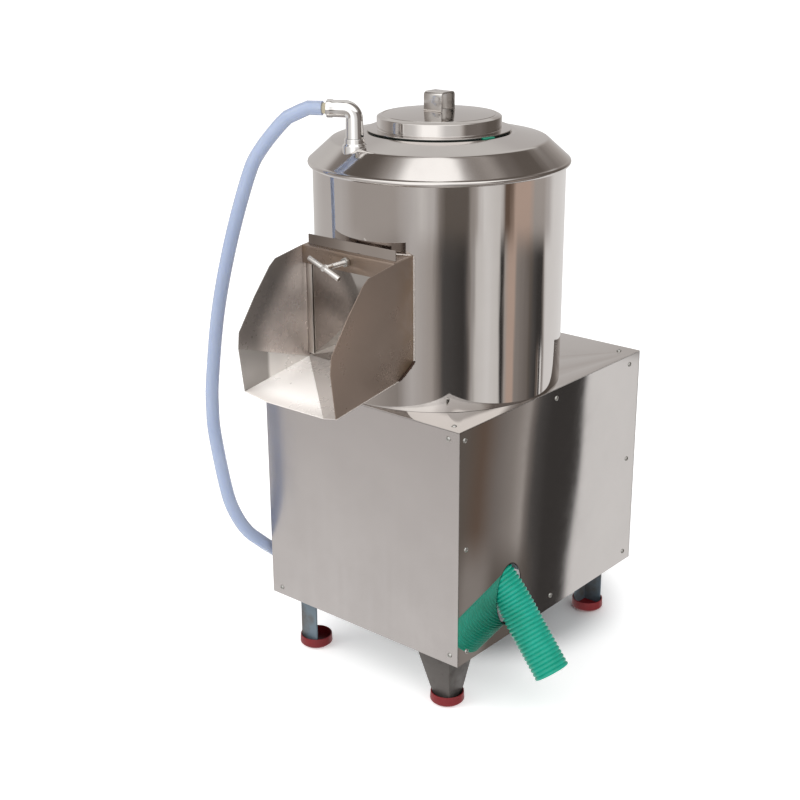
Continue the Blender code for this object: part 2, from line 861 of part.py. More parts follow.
def motor():
    """The motor: flange, finned shell and fan cover, with a bore for its shaft."""
    fins = []
    root, tip = motor_radius, motor_radius + fin_height
    fin_share, fin_draft = 0.36, 0.06
    for i in range(fin_count):
        for radius, share in ((root, 0), (tip, fin_draft), (tip, fin_share - fin_draft), (root, fin_share)):
            turn = math.tau * (i + share) / fin_count
            fins.append((radius * math.cos(turn), radius * math.sin(turn)))
    shell_bottom = motor_bottom + motor_flange_depth + fin_height
    shell_top = motor_top - 5 * fin_height
    body = plate(
        "motor_body", fins, shell_top - shell_bottom,
        Matrix.Translation((0, motor_y, (shell_bottom + shell_top) / 2)),
    )
    crown = motor_radius + fin_height / 2
    neck = motor_radius - fin_height / 2
    ends = turned("motor_ends", [
        (0, motor_top), (crown * 0.7, motor_top), (crown * 0.94, motor_top - fin_height / 2),
        (crown, motor_top - 2 * fin_height), (crown, shell_top - fin_height / 2),
        (neck, shell_top - fin_height), (neck, motor_bottom + motor_flange_depth),
        (motor_flange_radius, motor_bottom + motor_flange_depth),
        (motor_flange_radius, motor_bottom), (0, motor_bottom),
    ], (0, motor_y), 28, loop=False, home=cutters)
    bore_top = motor_bottom + shaft_entry
    bore = rod(
        "motor_bore", (0, motor_y, motor_bottom - overrun), (0, motor_y, bore_top),
        motor_shaft_radius + fit, 24, cutters,
    )
    unite(body, ends)
    cut(body, bore)
    settle(body, finish("motor_grey", (0.10, 0.13, 0.16), 0.5, 0.2))
    spindle = turned("motor_shaft", [
        (0, bore_top - fit), (motor_shaft_radius, bore_top - fit),
        (motor_shaft_radius, shaft_bottom), (0, shaft_bottom),
    ], (0, motor_y), 24, loop=False)
    settle(spindle, zinc_steel())
    start = motor_radius + fin_height + fit
    terminals = box(
        "motor_terminal_box", (start, motor_y - terminal_half, terminal_bottom),
        (start + terminal_depth, motor_y + terminal_half, terminal_bottom + terminal_height),
    )
    edge = terminals.modifiers.new("edge", "BEVEL")
    edge.width = sheet
    edge.segments = 2
    settle(terminals, finish("motor_grey", (0.10, 0.13, 0.16), 0.5, 0.2))


# Drum

drum_bottom = cabinet_top + fit
drum_bore = drum_radius - sheet
liner_bore = 0.189
liner_skirt = 0.004
liner_bottom = opening_bottom - liner_skirt
floor_wall = 0.002
floor_top = drum_bottom + floor_wall
floor_rim = 0.018


def opening_cutter(name, inner_radius):
    """The discharge opening: a block through the front wall of the drum."""
    return box(
        name, (-opening_half_width, drum_centre_y - drum_radius - overrun, opening_bottom),
        (opening_half_width, drum_centre_y - inner_radius + overrun * 4, opening_top), cutters,
    )


def drum():
    shell = turned("drum_shell", [
        (drum_radius, drum_top), (drum_radius, drum_bottom), (drum_bore, drum_bottom),
        (drum_bore, drum_top),
    ])
    cut(shell, opening_cutter("shell_opening", drum_radius))
    settle(shell, polished_steel())
    out = drum_bore - fit
    pan = turned("drum_floor", [
        (0, floor_top), (out - floor_wall, floor_top), (out - floor_wall, drum_bottom + floor_rim),
        (out, drum_bottom + floor_rim), (out, drum_bottom), (0, drum_bottom),
    ], loop=False)
    cut(
        pan,
        hole_down("floor_neck_hole", 0, drum_centre_y, neck_radius + neck_play),
        hole_down("floor_drain_hole", drain_x, drain_y, spout_radius + fit),
    )
    settle(pan, brushed_steel())
    liner = turned("abrasive_liner", [
        (out, drum_top - overrun), (out, liner_bottom), (liner_bore, liner_bottom),
        (liner_bore, drum_top - overrun),
    ])
    cut(liner, opening_cutter("liner_opening", liner_bore))
    settle(liner, finish("abrasive_grit", (0.20, 0.19, 0.18), 0.9, 0))


def collar():
    """The rolled rim, the two cones of the drum's shoulder and the seat round the mouth."""
    rim = []
    for i in range(5):
        turn = math.radians(65 - 155 * i / 4)
        rim.append((
            rim_radius - rim_half + rim_half * math.cos(turn),
            rim_height + rim_half * math.sin(turn),
        ))
    lip_depth = 0.0132
    profile = [
        (mouth_radius, seat_height), (seat_radius, seat_height), (knee_radius, knee_height),
        *rim,
        (drum_bore - fit, rim_height - rim_half), (drum_bore - fit, rim_height - rim_half / 2),
        (rim_radius - 1.3 * rim_half, rim_height + rim_half / 2),
        (knee_radius - sheet / 2, knee_height - sheet * 1.25),
        (seat_radius - fit, seat_height - sheet), (mouth_radius + sheet, seat_height - sheet),
        (mouth_radius + sheet, seat_height - lip_depth), (mouth_radius, seat_height - lip_depth),
    ]
    obj = turned("drum_collar", profile)
    cut(obj, rod(
        "collar_water_hole", (inlet_x, inlet_y, knee_height - 2 * overrun),
        (inlet_x, inlet_y, knee_height + 2 * overrun), water_bore, 16, cutters,
    ))
    settle(obj, polished_steel())


# Wave disc

disc_radius = 0.186
disc_plate = 0.008
wave_height = 0.017
wave_count = 3
boss_radius = 0.034
boss_height = 0.012
disc_hub_radius = 0.028
hub_play = 0.003
paddle_play = 0.0085
paddle_bottom = cabinet_top + paddle_play
paddle_length = 0.110
paddle_width = 0.010


def disc_height(radius, turn):
    """Height of the disc's top: three waves that rise from the boss and fade at the rim."""
    share = (radius - boss_radius) / (disc_radius - boss_radius)
    rise = math.sin(math.pi * min(1, max(0, share)) ** 0.7) ** 0.6 if 0 < share < 1 else 0
    crest = ((1 + math.cos(wave_count * turn)) / 2) ** 2.2
    return disc_bottom + disc_plate + wave_height * rise * crest


def abrasive_disc():
    """The cast disc: a waved top on a flat plate, a boss, a hub and two sweeping paddles."""
    steps = 42
    radii_shares = (0, 0.06, 0.18, 0.36, 0.55, 0.73, 0.88, 1)
    shape = bmesh.new()
    rings = []
    for share in radii_shares:
        radius = boss_radius + (disc_radius - boss_radius) * share
        rings.append([
            shape.verts.new((
                radius * math.cos(math.tau * i / steps), radius * math.sin(math.tau * i / steps),
                disc_height(radius, math.tau * i / steps),
            ))
            for i in range(steps)
        ])
    foot = [shape.verts.new((v.co.x, v.co.y, disc_bottom)) for v in rings[-1]]
    rings.append(foot)
    for inner, outer in zip(rings, rings[1:]):
        for i in range(steps):
            j = (i + 1) % steps
            shape.faces.new((inner[i], outer[i], outer[j], inner[j]))
    shape.faces.new(list(reversed(foot)))
    shape.faces.new(rings[0])
    disc = from_bmesh("abrasive_disc", shape)
    disc.location = (0, drum_centre_y, 0)
    hub_bottom = neck_top + hub_play
    hub = turned("disc_hub", [
        (0, disc_bottom + disc_plate + boss_height / 2),
        (boss_radius * 0.8, disc_bottom + disc_plate + boss_height / 2),
        (boss_radius, disc_bottom + disc_plate + boss_height / 4),
        (boss_radius, disc_bottom + disc_plate / 2), (disc_hub_radius, disc_bottom + disc_plate / 2),
        (disc_hub_radius, hub_bottom), (0, hub_bottom),
    ], segments=32, loop=False, home=cutters)
    unite(disc, hub)
    for name, way in (("a", -1), ("b", 1)):
        start = way * (neck_radius + neck_play)
        end = way * (disc_hub_radius + paddle_length)
        unite(disc, box(
            "paddle_" + name,
            (-paddle_width / 2, drum_centre_y + min(start, end), paddle_bottom),
            (paddle_width / 2, drum_centre_y + max(start, end), disc_bottom + disc_plate / 2),
            cutters,
        ))
    cut(disc, rod(
        "disc_bore", (0, drum_centre_y, hub_bottom - overrun), (0, drum_centre_y, stud_top + overrun),
        shaft_radius + fit, 32, cutters,
    ))
    settle(disc, finish("abrasive_grit", (0.20, 0.19, 0.18), 0.9, 0))


def disc_nut():
    """The domed nut on the shaft's stud, in one piece with its washer."""
    low = shaft_top + fit
    washer_radius = 0.022
    washer_height = 0.0025
    washer_top = low + washer_height
    nut_radius = 0.0145
    nut_height = 0.009
    dome_height = 0.010
    body = rod(
        "disc_nut", (0, drum_centre_y, low + 0.5 * sheet),
        (0, drum_centre_y, washer_top + nut_height), nut_radius, 6,
    )
    skirt = rod(
        "nut_washer", (0, drum_centre_y, low), (0, drum_centre_y, washer_top), washer_radius, 20,
        cutters,
    )
    dome = turned("nut_dome", [
        (0, washer_top + nut_height + dome_height),
        (nut_radius * 0.45, washer_top + nut_height + dome_height * 0.85),
        (nut_radius * 0.75, washer_top + nut_height + dome_height * 0.45),
        (nut_radius * 0.84, washer_top + nut_height - sheet), (0, washer_top + nut_height - sheet),
    ], segments=16, loop=False, home=cutters)
    hole = rod(
        "nut_hole", (0, drum_centre_y, low - overrun), (0, drum_centre_y, stud_top + fit),
        stud_radius + fit, 16, cutters,
    )
    unite(body, skirt, dome)
    cut(body, hole)
    settle(body, polished_steel())


# Lid

lid_flange_width = 0.0155
lid_wall_play = 0.002
lid_wall_radius = mouth_radius - lid_wall_play
lid_flange_radius = lid_wall_radius + lid_flange_width
lid_shoulder_inset = 0.0065
gasket_height = 0.0015
gasket_top = seat_height + fit + gasket_height
lid_flange_bottom = gasket_top + fit
lid_flange_top = lid_flange_bottom + sheet
lid_shoulder_rise = 0.0194
lid_crown_rise = 0.0083
lid_skirt_depth = 0.0112
lid_shoulder = lid_flange_top + lid_shoulder_rise
lid_crown = lid_shoulder + lid_crown_rise
lid_skirt_bottom = seat_height - lid_skirt_depth
handle_half_span = 0.0165
handle_half_width = 0.0175
handle_height = 0.0275
handle_top = lid_crown + handle_height
handle_wall = 0.0025
handle_corner = 0.006


def lid():
    """A pressed pan: flange, wall, domed top and the skirt that goes down into the mouth."""
    wall = lid_wall_radius
    shoulder = [
        (wall - lid_shoulder_inset, lid_shoulder + sheet), (wall - sheet, lid_shoulder),
        (wall, lid_shoulder - sheet),
    ]
    pan = turned("lid", [
        (0, lid_crown), *shoulder,
        (wall, lid_flange_top), (lid_flange_radius, lid_flange_top),
        (lid_flange_radius, lid_flange_bottom), (wall, lid_flange_bottom),
        (wall, lid_skirt_bottom), (wall - sheet, lid_skirt_bottom),
        (wall - sheet, lid_shoulder - 2 * sheet), (wall - 2 * sheet, lid_shoulder - sheet),
        (wall - lid_shoulder_inset - sheet / 2, lid_shoulder), (0, lid_crown - sheet),
    ], segments=40, loop=False)
    settle(pan, polished_steel())
    gasket = turned("lid_gasket", [
        (lid_flange_radius - sheet / 2, gasket_top), (lid_flange_radius - sheet / 2, seat_height + fit),
        (mouth_radius + sheet, seat_height + fit), (mouth_radius + sheet, gasket_top),
    ], segments=36)
    settle(gasket, finish("green_rubber", (0.05, 0.42, 0.30), 0.5, 0))
    outline = []
    for i in range(5):
        turn = math.radians(180 - 90 * i / 4)
        outline.append((
            -handle_half_span + handle_corner + handle_corner * math.cos(turn),
            handle_top - handle_corner + handle_corner * math.sin(turn),
        ))
    mid = handle_wall / 2
    left = [(y + mid, z - mid) for y, z in outline]
    slope = (lid_crown - lid_shoulder - sheet) / (wall - lid_shoulder_inset)
    foot = lid_crown - slope * (handle_half_span - handle_wall) + fit
    path = [(left[0][0], foot)] + left + [(-y, z) for y, z in reversed(left)] + [(-left[0][0], foot)]
    handle = sheet_strip("lid_handle", path, -handle_half_width, handle_half_width, "x", handle_wall)
    handle.location = (0, drum_centre_y, 0)
    settle(handle, polished_steel())


# Chute, hood, gate and its clamp

gate_lift_gap = 0.0022
gate_head = 0.016
gate_bottom = chute_heel_z + gate_lift_gap
gate_top = hood_front_z + gate_head
gate_play = 0.00035
guide_wall = 0.0012
guide_depth = 0.011
clamp_drop = 0.012
clamp_z = hood_front_z - clamp_drop
clamp_radius = 0.004
clamp_reach = 0.054
clamp_bar = 0.064
clamp_tilt = math.radians(21)
nut_half = 0.0065
nut_depth = 0.006
hood_drop = 0.0275
lip_sag = 0.005


def drum_clearance_cutter(name):
    """Trims a piece to the drum's outer face, with the fit between them."""
    return rod(
        name, (0, drum_centre_y, opening_bottom - 4 * overrun),
        (0, drum_centre_y, drum_top), drum_radius + fit, round_segments, cutters,
    )


def chute():
    """A welded spout: two cheeks and a floor that is creased from its heel to its lip."""
    out_shares = (1.069, 1.050, 0.786, 0.534, 0.439, 0.008)
    up_shares = (0.345, 0.4675, 0.7075, 0.9025, 0.950, 0.9975)
    depth, height = chute_lip_y - hood_front_y, hood_front_z - chute_lip_z
    edge = [
        (hood_front_y + out * depth, chute_lip_z + up * height)
        for out, up in zip(out_shares, up_shares)
    ]
    root_climb = 0.0235
    cheek = [
        (chute_lip_y, chute_lip_z), *edge,
        (chute_root_y, hood_front_z + hood_slope_rise), (chute_root_y, chute_heel_z + root_climb),
        (chute_heel_y, chute_heel_z),
    ]
    across = chute_half_width - sheet / 2
    body = plate("chute_body", cheek, sheet, facing_x(-across))
    other = plate("cheek_right", cheek, sheet, facing_x(across), cutters)
    left_crease, right_crease = -0.048, 0.069
    inner = chute_half_width - sheet / 2
    lip_low = chute_lip_z - lip_sag
    spots = [
        (-inner, chute_root_y, chute_heel_z + root_climb),
        (inner, chute_root_y, chute_heel_z + root_climb),
        (-inner, chute_heel_y, chute_heel_z), (inner, chute_heel_y, chute_heel_z),
        (-inner, chute_lip_y, chute_lip_z), (left_crease, chute_lip_y, lip_low),
        (right_crease, chute_lip_y, lip_low), (inner, chute_lip_y, chute_lip_z),
    ]
    mesh = bpy.data.meshes.new("chute_floor")
    mesh.from_pydata(spots, [], [(0, 1, 3, 2), (2, 3, 6, 5), (2, 5, 4), (3, 7, 6)])
    floor = add_object("chute_floor", mesh, cutters)
    wall = floor.modifiers.new("wall", "SOLIDIFY")
    wall.thickness = sheet
    wall.offset = 0
    unite(body, other, floor)
    cut(body, drum_clearance_cutter("chute_drum_cut"))
    settle(body, brushed_steel(), round_off=False)


def hood():
    """The fixed plate over the gate, with its front edge turned down to hold the clamp."""
    mid = sheet / 2
    path = [
        (hood_front_y, hood_front_z - hood_drop), (hood_front_y, hood_front_z - mid),
        (chute_root_y, hood_front_z - mid + hood_slope_rise),
    ]
    inner = chute_half_width - sheet - fit
    obj = sheet_strip("chute_hood", path, -inner, inner, "x")
    slot_x = gate_half_width + 2 * gate_play
    slot_y = sheet / 2 + gate_play
    slot = box(
        "gate_slot", (-slot_x, gate_y - slot_y, hood_front_z - overrun),
        (slot_x, gate_y + slot_y, hood_front_z + overrun), cutters,
    )
    hole = rod(
        "clamp_hole", (0, hood_front_y - overrun / 2, clamp_z), (0, hood_front_y + overrun / 2, clamp_z),
        clamp_radius + fit, 20, cutters,
    )
    cut(obj, drum_clearance_cutter("hood_drum_cut"), slot, hole)
    settle(obj, brushed_steel(), round_off=False)


def gate():
    mid = sheet / 2
    obj = box(
        "discharge_gate", (-gate_half_width, gate_y - mid, gate_bottom),
        (gate_half_width, gate_y + mid, gate_top),
    )
    settle(obj, brushed_steel(), round_off=False)
    guide_bottom = chute_heel_z + 4 * sheet
    guide_top = hood_front_z - 2 * sheet
    wall_y = mid + gate_play + guide_wall
    outer = chute_half_width - sheet - fit
    for name, way in (("left", -1), ("right", 1)):
        inner = outer - guide_depth
        low_x, high_x = sorted((way * outer, way * inner))
        guide = box(
            f"gate_guide_{name}", (low_x, gate_y - wall_y, guide_bottom),
            (high_x, gate_y + wall_y, guide_top),
        )
        slot_low, slot_high = sorted((way * (gate_half_width + gate_play), way * (inner - overrun)))
        cut(guide, box(
            f"guide_slot_{name}",
            (slot_low, gate_y - mid - gate_play, guide_bottom - overrun),
            (slot_high, gate_y + mid + gate_play, guide_top + overrun), cutters,
        ))
        settle(guide, brushed_steel(), round_off=False)


def clamp():
    """The T screw that locks the gate, and the nut welded on the hood for it."""
    tip = gate_y - sheet / 2 - fit
    end = hood_front_y - clamp_reach
    screw = rod("clamp_screw", (0, end, clamp_z), (0, tip, clamp_z), clamp_radius, 14)
    half = clamp_bar / 2
    dx, dz = half * math.cos(clamp_tilt), -half * math.sin(clamp_tilt)
    bar = rod(
        "clamp_bar", (-dx, end + clamp_radius, clamp_z - dz), (dx, end + clamp_radius, clamp_z + dz),
        clamp_radius, 14, cutters,
    )
    unite(screw, bar)
    settle(screw, zinc_steel())
    front = hood_front_y - sheet / 2 - fit
    nut = rod("clamp_nut", (0, front - nut_depth, clamp_z), (0, front, clamp_z), nut_half * 1.1547, 6)
    cut(nut, rod(
        "clamp_nut_bore", (0, front - nut_depth - overrun, clamp_z), (0, front + overrun, clamp_z),
        clamp_radius + fit, 20, cutters,
    ))
    settle(nut, zinc_steel())


# Water inlet

water_bore = 0.0085
socket_radius = 0.0185
socket_height = 0.0142
socket_top = knee_height + socket_height
socket_neck = 0.0155
elbow_bend = 0.014
outward = Vector((math.cos(inlet_turn), math.sin(inlet_turn), 0))
nipple_end = (
    Vector((inlet_x, inlet_y, elbow_axis_z)) + outward * (elbow_reach + fit + nipple_length)
)


def inlet_socket():
    """The boss welded on the collar's upper cone, which the elbow screws into."""
    flare = 0.004
    boss = turned("inlet_socket", [
        (0, socket_top), (socket_neck, socket_top), (socket_neck, knee_height + 1.6 * flare),
        (socket_radius, knee_height + flare), (socket_radius, knee_height - 2 * flare),
        (0, knee_height - 2 * flare),
    ], (inlet_x, inlet_y), 20, loop=False)
    slope_cutter = turned("collar_face", [
        (0, seat_height + fit), (seat_radius, seat_height + fit), (knee_radius, knee_height + fit),
        (rim_radius, rim_height + rim_half), (rim_radius, rim_height - 4 * overrun),
        (0, rim_height - 4 * overrun),
    ], loop=False, home=cutters)
    bore = rod(
        "socket_bore", (inlet_x, inlet_y, knee_height - 2 * overrun),
        (inlet_x, inlet_y, socket_top + overrun), water_bore, 16, cutters,
    )
    cut(boss, slope_cutter, bore)
    settle(boss, polished_steel())


def elbow_path(start_z, reach):
    """The elbow's centre line: up from the socket, round the bend and out to its mouth."""
    base = Vector((inlet_x, inlet_y, 0))
    path = [base + Vector((0, 0, start_z))]
    for i in range(7):
        turn = math.radians(90 * i / 6)
        path.append(
            base + outward * elbow_bend * (1 - math.cos(turn))
            + Vector((0, 0, elbow_axis_z - elbow_bend + elbow_bend * math.sin(turn)))
        )
    path.append(base + outward * reach + Vector((0, 0, elbow_axis_z)))
    return path


def inlet_elbow():
    elbow = as_mesh(tube(
        "inlet_elbow", elbow_path(socket_top + fit, elbow_reach), elbow_radius, 5
    ))
    hollow = as_mesh(tube(
        "elbow_bore", elbow_path(socket_top - overrun, elbow_reach + overrun), water_bore, 4, cutters
    ))
    cut(elbow, hollow)
    settle(elbow, finish("chrome", (0.72, 0.72, 0.72), 0.08, 1))
    mouth = Vector((inlet_x, inlet_y, elbow_axis_z)) + outward * elbow_reach
    spigot = rod("hose_nipple", mouth - outward * overrun, nipple_end, water_bore - 2 * fit, 20)
    ring = rod(
        "nipple_ring", mouth + outward * fit, nipple_end, hose_radius, 20, cutters
    )
    bore_radius = water_bore * 0.7
    bore = rod(
        "nipple_bore", mouth - outward * 2 * overrun, nipple_end + outward * overrun, bore_radius,
        16, cutters,
    )
    unite(spigot, ring)
    cut(spigot, bore)
    settle(spigot, finish("thread_tape", (0.80, 0.76, 0.62), 0.6, 0))


# Water hose: its free stretch, the coil on the floor behind and the tie

tie_wall = 0.0014
tie_width = 0.008
tie_play = 0.0006
hose_floor = tie_wall + fit + tie_play
hose_level = hose_radius + hose_floor
coil_x = -0.100
coil_y = 0.410
coil_start = 0.130
coil_gap = 0.0015
coil_turns = 2.2
coil_loop_points = 24
hose_route = (
    (-0.1165, -0.2448, 0.9205), (-0.1345, -0.2535, 0.9085), (-0.1697, -0.2714, 0.8620),
    (-0.1876, -0.2805, 0.8226), (-0.2168, -0.2952, 0.7208), (-0.2407, -0.3073, 0.6078),
    (-0.2550, -0.3145, 0.4918), (-0.2573, -0.3160, 0.4399), (-0.2535, -0.3168, 0.3922),
    (-0.2410, -0.3085, 0.2929), (-0.2335, -0.2962, 0.2469), (-0.2275, -0.2780, 0.2138),
    (-0.2240, -0.2560, 0.1911), (-0.2225, -0.2302, 0.1673), (-0.2240, -0.1600, 0.1100),
    (-0.2265, -0.0900, 0.0590), (-0.2285, -0.0200, 0.0270), (-0.2300, 0.0600, 0.0140),
    (-0.2300, 0.1600, hose_level), (-0.2300, 0.2600, hose_level), (-0.2300, 0.3500, hose_level),
)


def coil_points():
    """A flat spiral, wound inwards, clockwise from above, from the free stretch's end."""
    pitch = 2 * hose_radius + coil_gap
    count = round(coil_turns * coil_loop_points)
    points = []
    for i in range(count + 1):
        turn = math.pi - math.tau * i / coil_loop_points
        radius = coil_start - pitch * i / coil_loop_points
        points.append((
            coil_x + radius * math.cos(turn), coil_y + radius * math.sin(turn), hose_level
        ))
    return points


def least_gap(points, radius, near):
    """The least gap between stretches of a tube that are more than a near length apart."""
    spots = [Vector(p) for p in points]
    run = [0]
    for p, q in zip(spots, spots[1:]):
        run.append(run[-1] + (q - p).length)
    least = None
    for i, p in enumerate(spots):
        for j in range(i + 1, len(spots) - 1):
            if run[j] - run[i] < near:
                continue
            a, b = spots[j], spots[j + 1]
            share = max(0, min(1, (p - a).dot(b - a) / (b - a).length_squared))
            gap = (p - a.lerp(b, share)).length - 2 * radius
            least = gap if least is None else min(least, gap)
    return least


def water_hose():
    blue = finish("blue_hose", (0.36, 0.47, 0.68), 0.25, 0)
    coil = coil_points()
    way_in = Vector((0, 1, 0))
    join = Vector(coil[0]) - way_in * fit
    start = nipple_end + outward * fit
    straight = 2 * hose_radius
    route = [start + outward * straight, *hose_route, join - way_in * straight]
    points = [start, *smooth_route(route, 2.2 * 2 * hose_radius), join]
    settle(as_mesh(tube("water_hose", points, hose_radius, 3)), blue)
    lead = [Vector(coil[0]) + way_in * hose_radius / 2]
    loops = [Vector(coil[0])] + lead + [Vector(p) for p in coil[1:]]
    settle(as_mesh(tube("hose_coil", loops, hose_radius, 1)), blue)
    print("least gap in the coil, mm:", round(1000 * least_gap(coil, hose_radius, 10 * hose_radius), 2))
    pitch = 2 * hose_radius + coil_gap
    # At the coil's far side the first turn has run a quarter, the second one and a quarter.
    outer = coil_y + coil_start - pitch * 0.25 + hose_radius + tie_play
    inner = coil_y + coil_start - pitch * 1.25 - hose_radius - tie_play
    half = tie_width / 2
    low, high = hose_floor - tie_play, hose_level + hose_radius + tie_play
    band = box(
        "hose_tie", (coil_x - half, inner - tie_wall, low - tie_wall),
        (coil_x + half, outer + tie_wall, high + tie_wall),
    )
    cut(band, box(
        "tie_inside", (coil_x - half - overrun, inner, low), (coil_x + half + overrun, outer, high),
        cutters,
    ))
    settle(band, finish("black_plastic", (0.02, 0.02, 0.02), 0.4, 0), round_off=False)


# Drain

spout_wall = 0.002
spout_flange = 0.030
spout_depth = 0.050
spout_bottom = cabinet_top - spout_depth
drain_hole_play = 0.0030
rib_pitch = 0.0070
rib_depth = 0.0022
# Steps of the hose from the drain's centre: right, back and down from the cabinet's top
drain_steps = (
    (0, 0, 0.014), (0, 0, 0.050), (0, 0, 0.090), (0.002, 0.002, 0.145), (0.015, 0.011, 0.205),
    (0.042, 0.024, 0.260), (0.085, 0.033, 0.316), (0.1286, 0.033, 0.371), (0.1722, 0.033, 0.426),
)
drain_route = [
    (drain_x + right, drain_y + back, cabinet_top - down) for right, back, down in drain_steps
]


def drain():
    flange_low = floor_top + fit
    inner = spout_radius - spout_wall
    spout = turned("drain_spout", [
        (spout_flange, flange_low + spout_wall / 2), (spout_flange, flange_low),
        (spout_radius, flange_low), (spout_radius, spout_bottom), (inner, spout_bottom),
        (inner, flange_low + spout_wall / 2),
    ], (drain_x, drain_y), 24)
    settle(spout, polished_steel())
    fine = smooth_route(drain_route, rib_pitch / 2)
    crest = drain_hose_radius
    root_share = (drain_hose_radius - rib_depth) / drain_hose_radius
    shares = [root_share if i % 2 else 1 for i in range(len(fine))]
    shares[0] = shares[-1] = root_share
    hose = as_mesh(tube("drain_hose", fine, crest, 2, radii=shares))
    plain = smooth_route(drain_route, 3 * rib_pitch)
    first, last = plain[0] - plain[1], plain[-1] - plain[-2]
    ends = [plain[0] + first.normalized() * overrun] + plain + [plain[-1] + last.normalized() * overrun]
    cut(hose, as_mesh(tube("drain_bore", ends, drain_hose_bore, 4, cutters)))
    settle(hose, finish("green_hose", (0.02, 0.40, 0.30), 0.4, 0))


def stand_on_origin():
    """Moves every piece so that the origin is under the middle of the outline, loose hose left out."""
    bpy.context.view_layer.update()
    loose = ("water_hose", "hose_coil", "hose_tie")
    spots = [
        obj.matrix_world @ spot.co
        for obj in parts.objects if obj.name not in loose for spot in obj.data.vertices
    ]
    middle = Vector([(min(p[i] for p in spots) + max(p[i] for p in spots)) / 2 for i in (0, 1)] + [0])
    for obj in parts.objects:
        obj.location -= middle
    print("cabinet's centre from the origin, mm:", [round(-1000 * c, 3) for c in middle])


def build():
    clear_scene()
    frame()
    crossbars()
    legs()
    cabinet()
    cable_gland()
    bearing_bridge()
    bearings()
    main_shaft()
    pulleys()
    drive_belt()
    motor_mount()
    motor()
    drum()
    collar()
    abrasive_disc()
    disc_nut()
    lid()
    chute()
    hood()
    gate()
    clamp()
    inlet_socket()
    inlet_elbow()
    water_hose()
    drain()
    stand_on_origin()


build()
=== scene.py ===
import math
import random

import bpy
from mathutils import Matrix, Quaternion, Vector


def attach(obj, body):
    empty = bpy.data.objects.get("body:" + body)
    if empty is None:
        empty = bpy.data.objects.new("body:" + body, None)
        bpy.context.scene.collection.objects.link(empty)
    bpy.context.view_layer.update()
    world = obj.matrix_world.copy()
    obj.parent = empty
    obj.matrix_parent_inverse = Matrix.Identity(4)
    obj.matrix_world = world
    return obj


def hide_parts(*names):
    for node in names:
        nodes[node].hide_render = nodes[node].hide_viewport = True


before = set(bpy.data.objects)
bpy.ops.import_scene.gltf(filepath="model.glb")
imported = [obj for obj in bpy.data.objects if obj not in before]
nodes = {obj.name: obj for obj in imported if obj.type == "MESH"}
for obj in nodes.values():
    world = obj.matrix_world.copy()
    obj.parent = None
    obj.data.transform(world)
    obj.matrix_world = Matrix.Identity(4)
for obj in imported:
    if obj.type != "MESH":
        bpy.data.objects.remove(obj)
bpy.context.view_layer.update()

# Everything is drawn round the cabinet's centre, which stands here in the row frame
cabinetCentre = (-0.052083, 0.067869, 0.0)

# Camera: the photograph's own place, turn and lens
cameraSet = {
    "eye": (1.36999, -1.76046, 1.23985),
    "target": (-0.06124, -0.07542, 0.43123),
    "roll": -0.356,
    "lens": 63.52,
}
cameraData = bpy.data.cameras.new("camera")
cameraData.lens = cameraSet["lens"]
cameraData.sensor_width = 36
cameraData.clip_end = 100
camera = bpy.data.objects.new("camera", cameraData)
bpy.context.scene.collection.objects.link(camera)
eye = Vector(cameraSet["eye"]) + Vector(cabinetCentre)
aim = (Vector(cameraSet["target"]) + Vector(cabinetCentre) - eye).to_track_quat("-Z", "Y")
turn = aim @ Quaternion((0, 0, 1), math.radians(cameraSet["roll"]))
camera.matrix_world = Matrix.Translation(eye) @ turn.to_matrix().to_4x4()
bpy.context.scene.camera = camera


# Modelling helpers

def clearSelection():
    active = bpy.context.view_layer.objects.active
    if active and active.mode != "OBJECT":
        bpy.ops.object.mode_set(mode="OBJECT")
    bpy.ops.object.select_all(action="DESELECT")


def takePiece(name):
    piece = bpy.context.view_layer.objects.active
    piece.name = name
    piece.data.name = name
    return piece


def pick(piece):
    clearSelection()
    piece.select_set(True)
    bpy.context.view_layer.objects.active = piece


def applyPlace(piece):
    pick(piece)
    bpy.ops.object.transform_apply(location=True, rotation=True, scale=True)


def applyModifier(piece, kind, **settings):
    pick(piece)
    made = piece.modifiers.new(kind.lower(), kind)
    for key, value in settings.items():
        setattr(made, key, value)
    bpy.ops.object.modifier_apply(modifier=made.name)


def roundEdges(piece, width, steps=2, angle=30):
    applyModifier(
        piece, "BEVEL", width=width, segments=steps, limit_method="ANGLE",
        angle_limit=math.radians(angle), use_clamp_overlap=True,
    )


def cutAway(piece, *tools, operation="DIFFERENCE"):
    for tool in tools:
        applyModifier(piece, "BOOLEAN", object=tool, operation=operation, solver="EXACT")
        bpy.data.objects.remove(tool)


def keepShape(name, edge):
    piece = takePiece(name)
    applyPlace(piece)
    if edge:
        roundEdges(piece, edge)
    return piece


def addBlock(name, low, high, edge=0.0):
    clearSelection()
    middle = [(a + b) / 2 for a, b in zip(low, high)]
    bpy.ops.mesh.primitive_cube_add(size=1, location=middle, scale=[b - a for a, b in zip(low, high)])
    return keepShape(name, edge)


def addRod(name, start, end, radius, steps, edge=0.0):
    clearSelection()
    start, end = Vector(start), Vector(end)
    bpy.ops.mesh.primitive_cylinder_add(
        vertices=steps, radius=radius, depth=(end - start).length, location=(start + end) / 2,
        rotation=(end - start).to_track_quat("Z", "Y").to_euler(),
    )
    return keepShape(name, edge)


# A rod that stands over a spot of the plan, and one that lies through a spot of the front view
def standingRod(name, spot, low, high, radius, steps):
    return addRod(name, (*spot, low), (*spot, high), radius, steps)


def lyingRod(name, spot, front, back, radius, steps=48, edge=0.0):
    x, z = spot
    return addRod(name, (x, front, z), (x, back, z), radius, steps, edge)


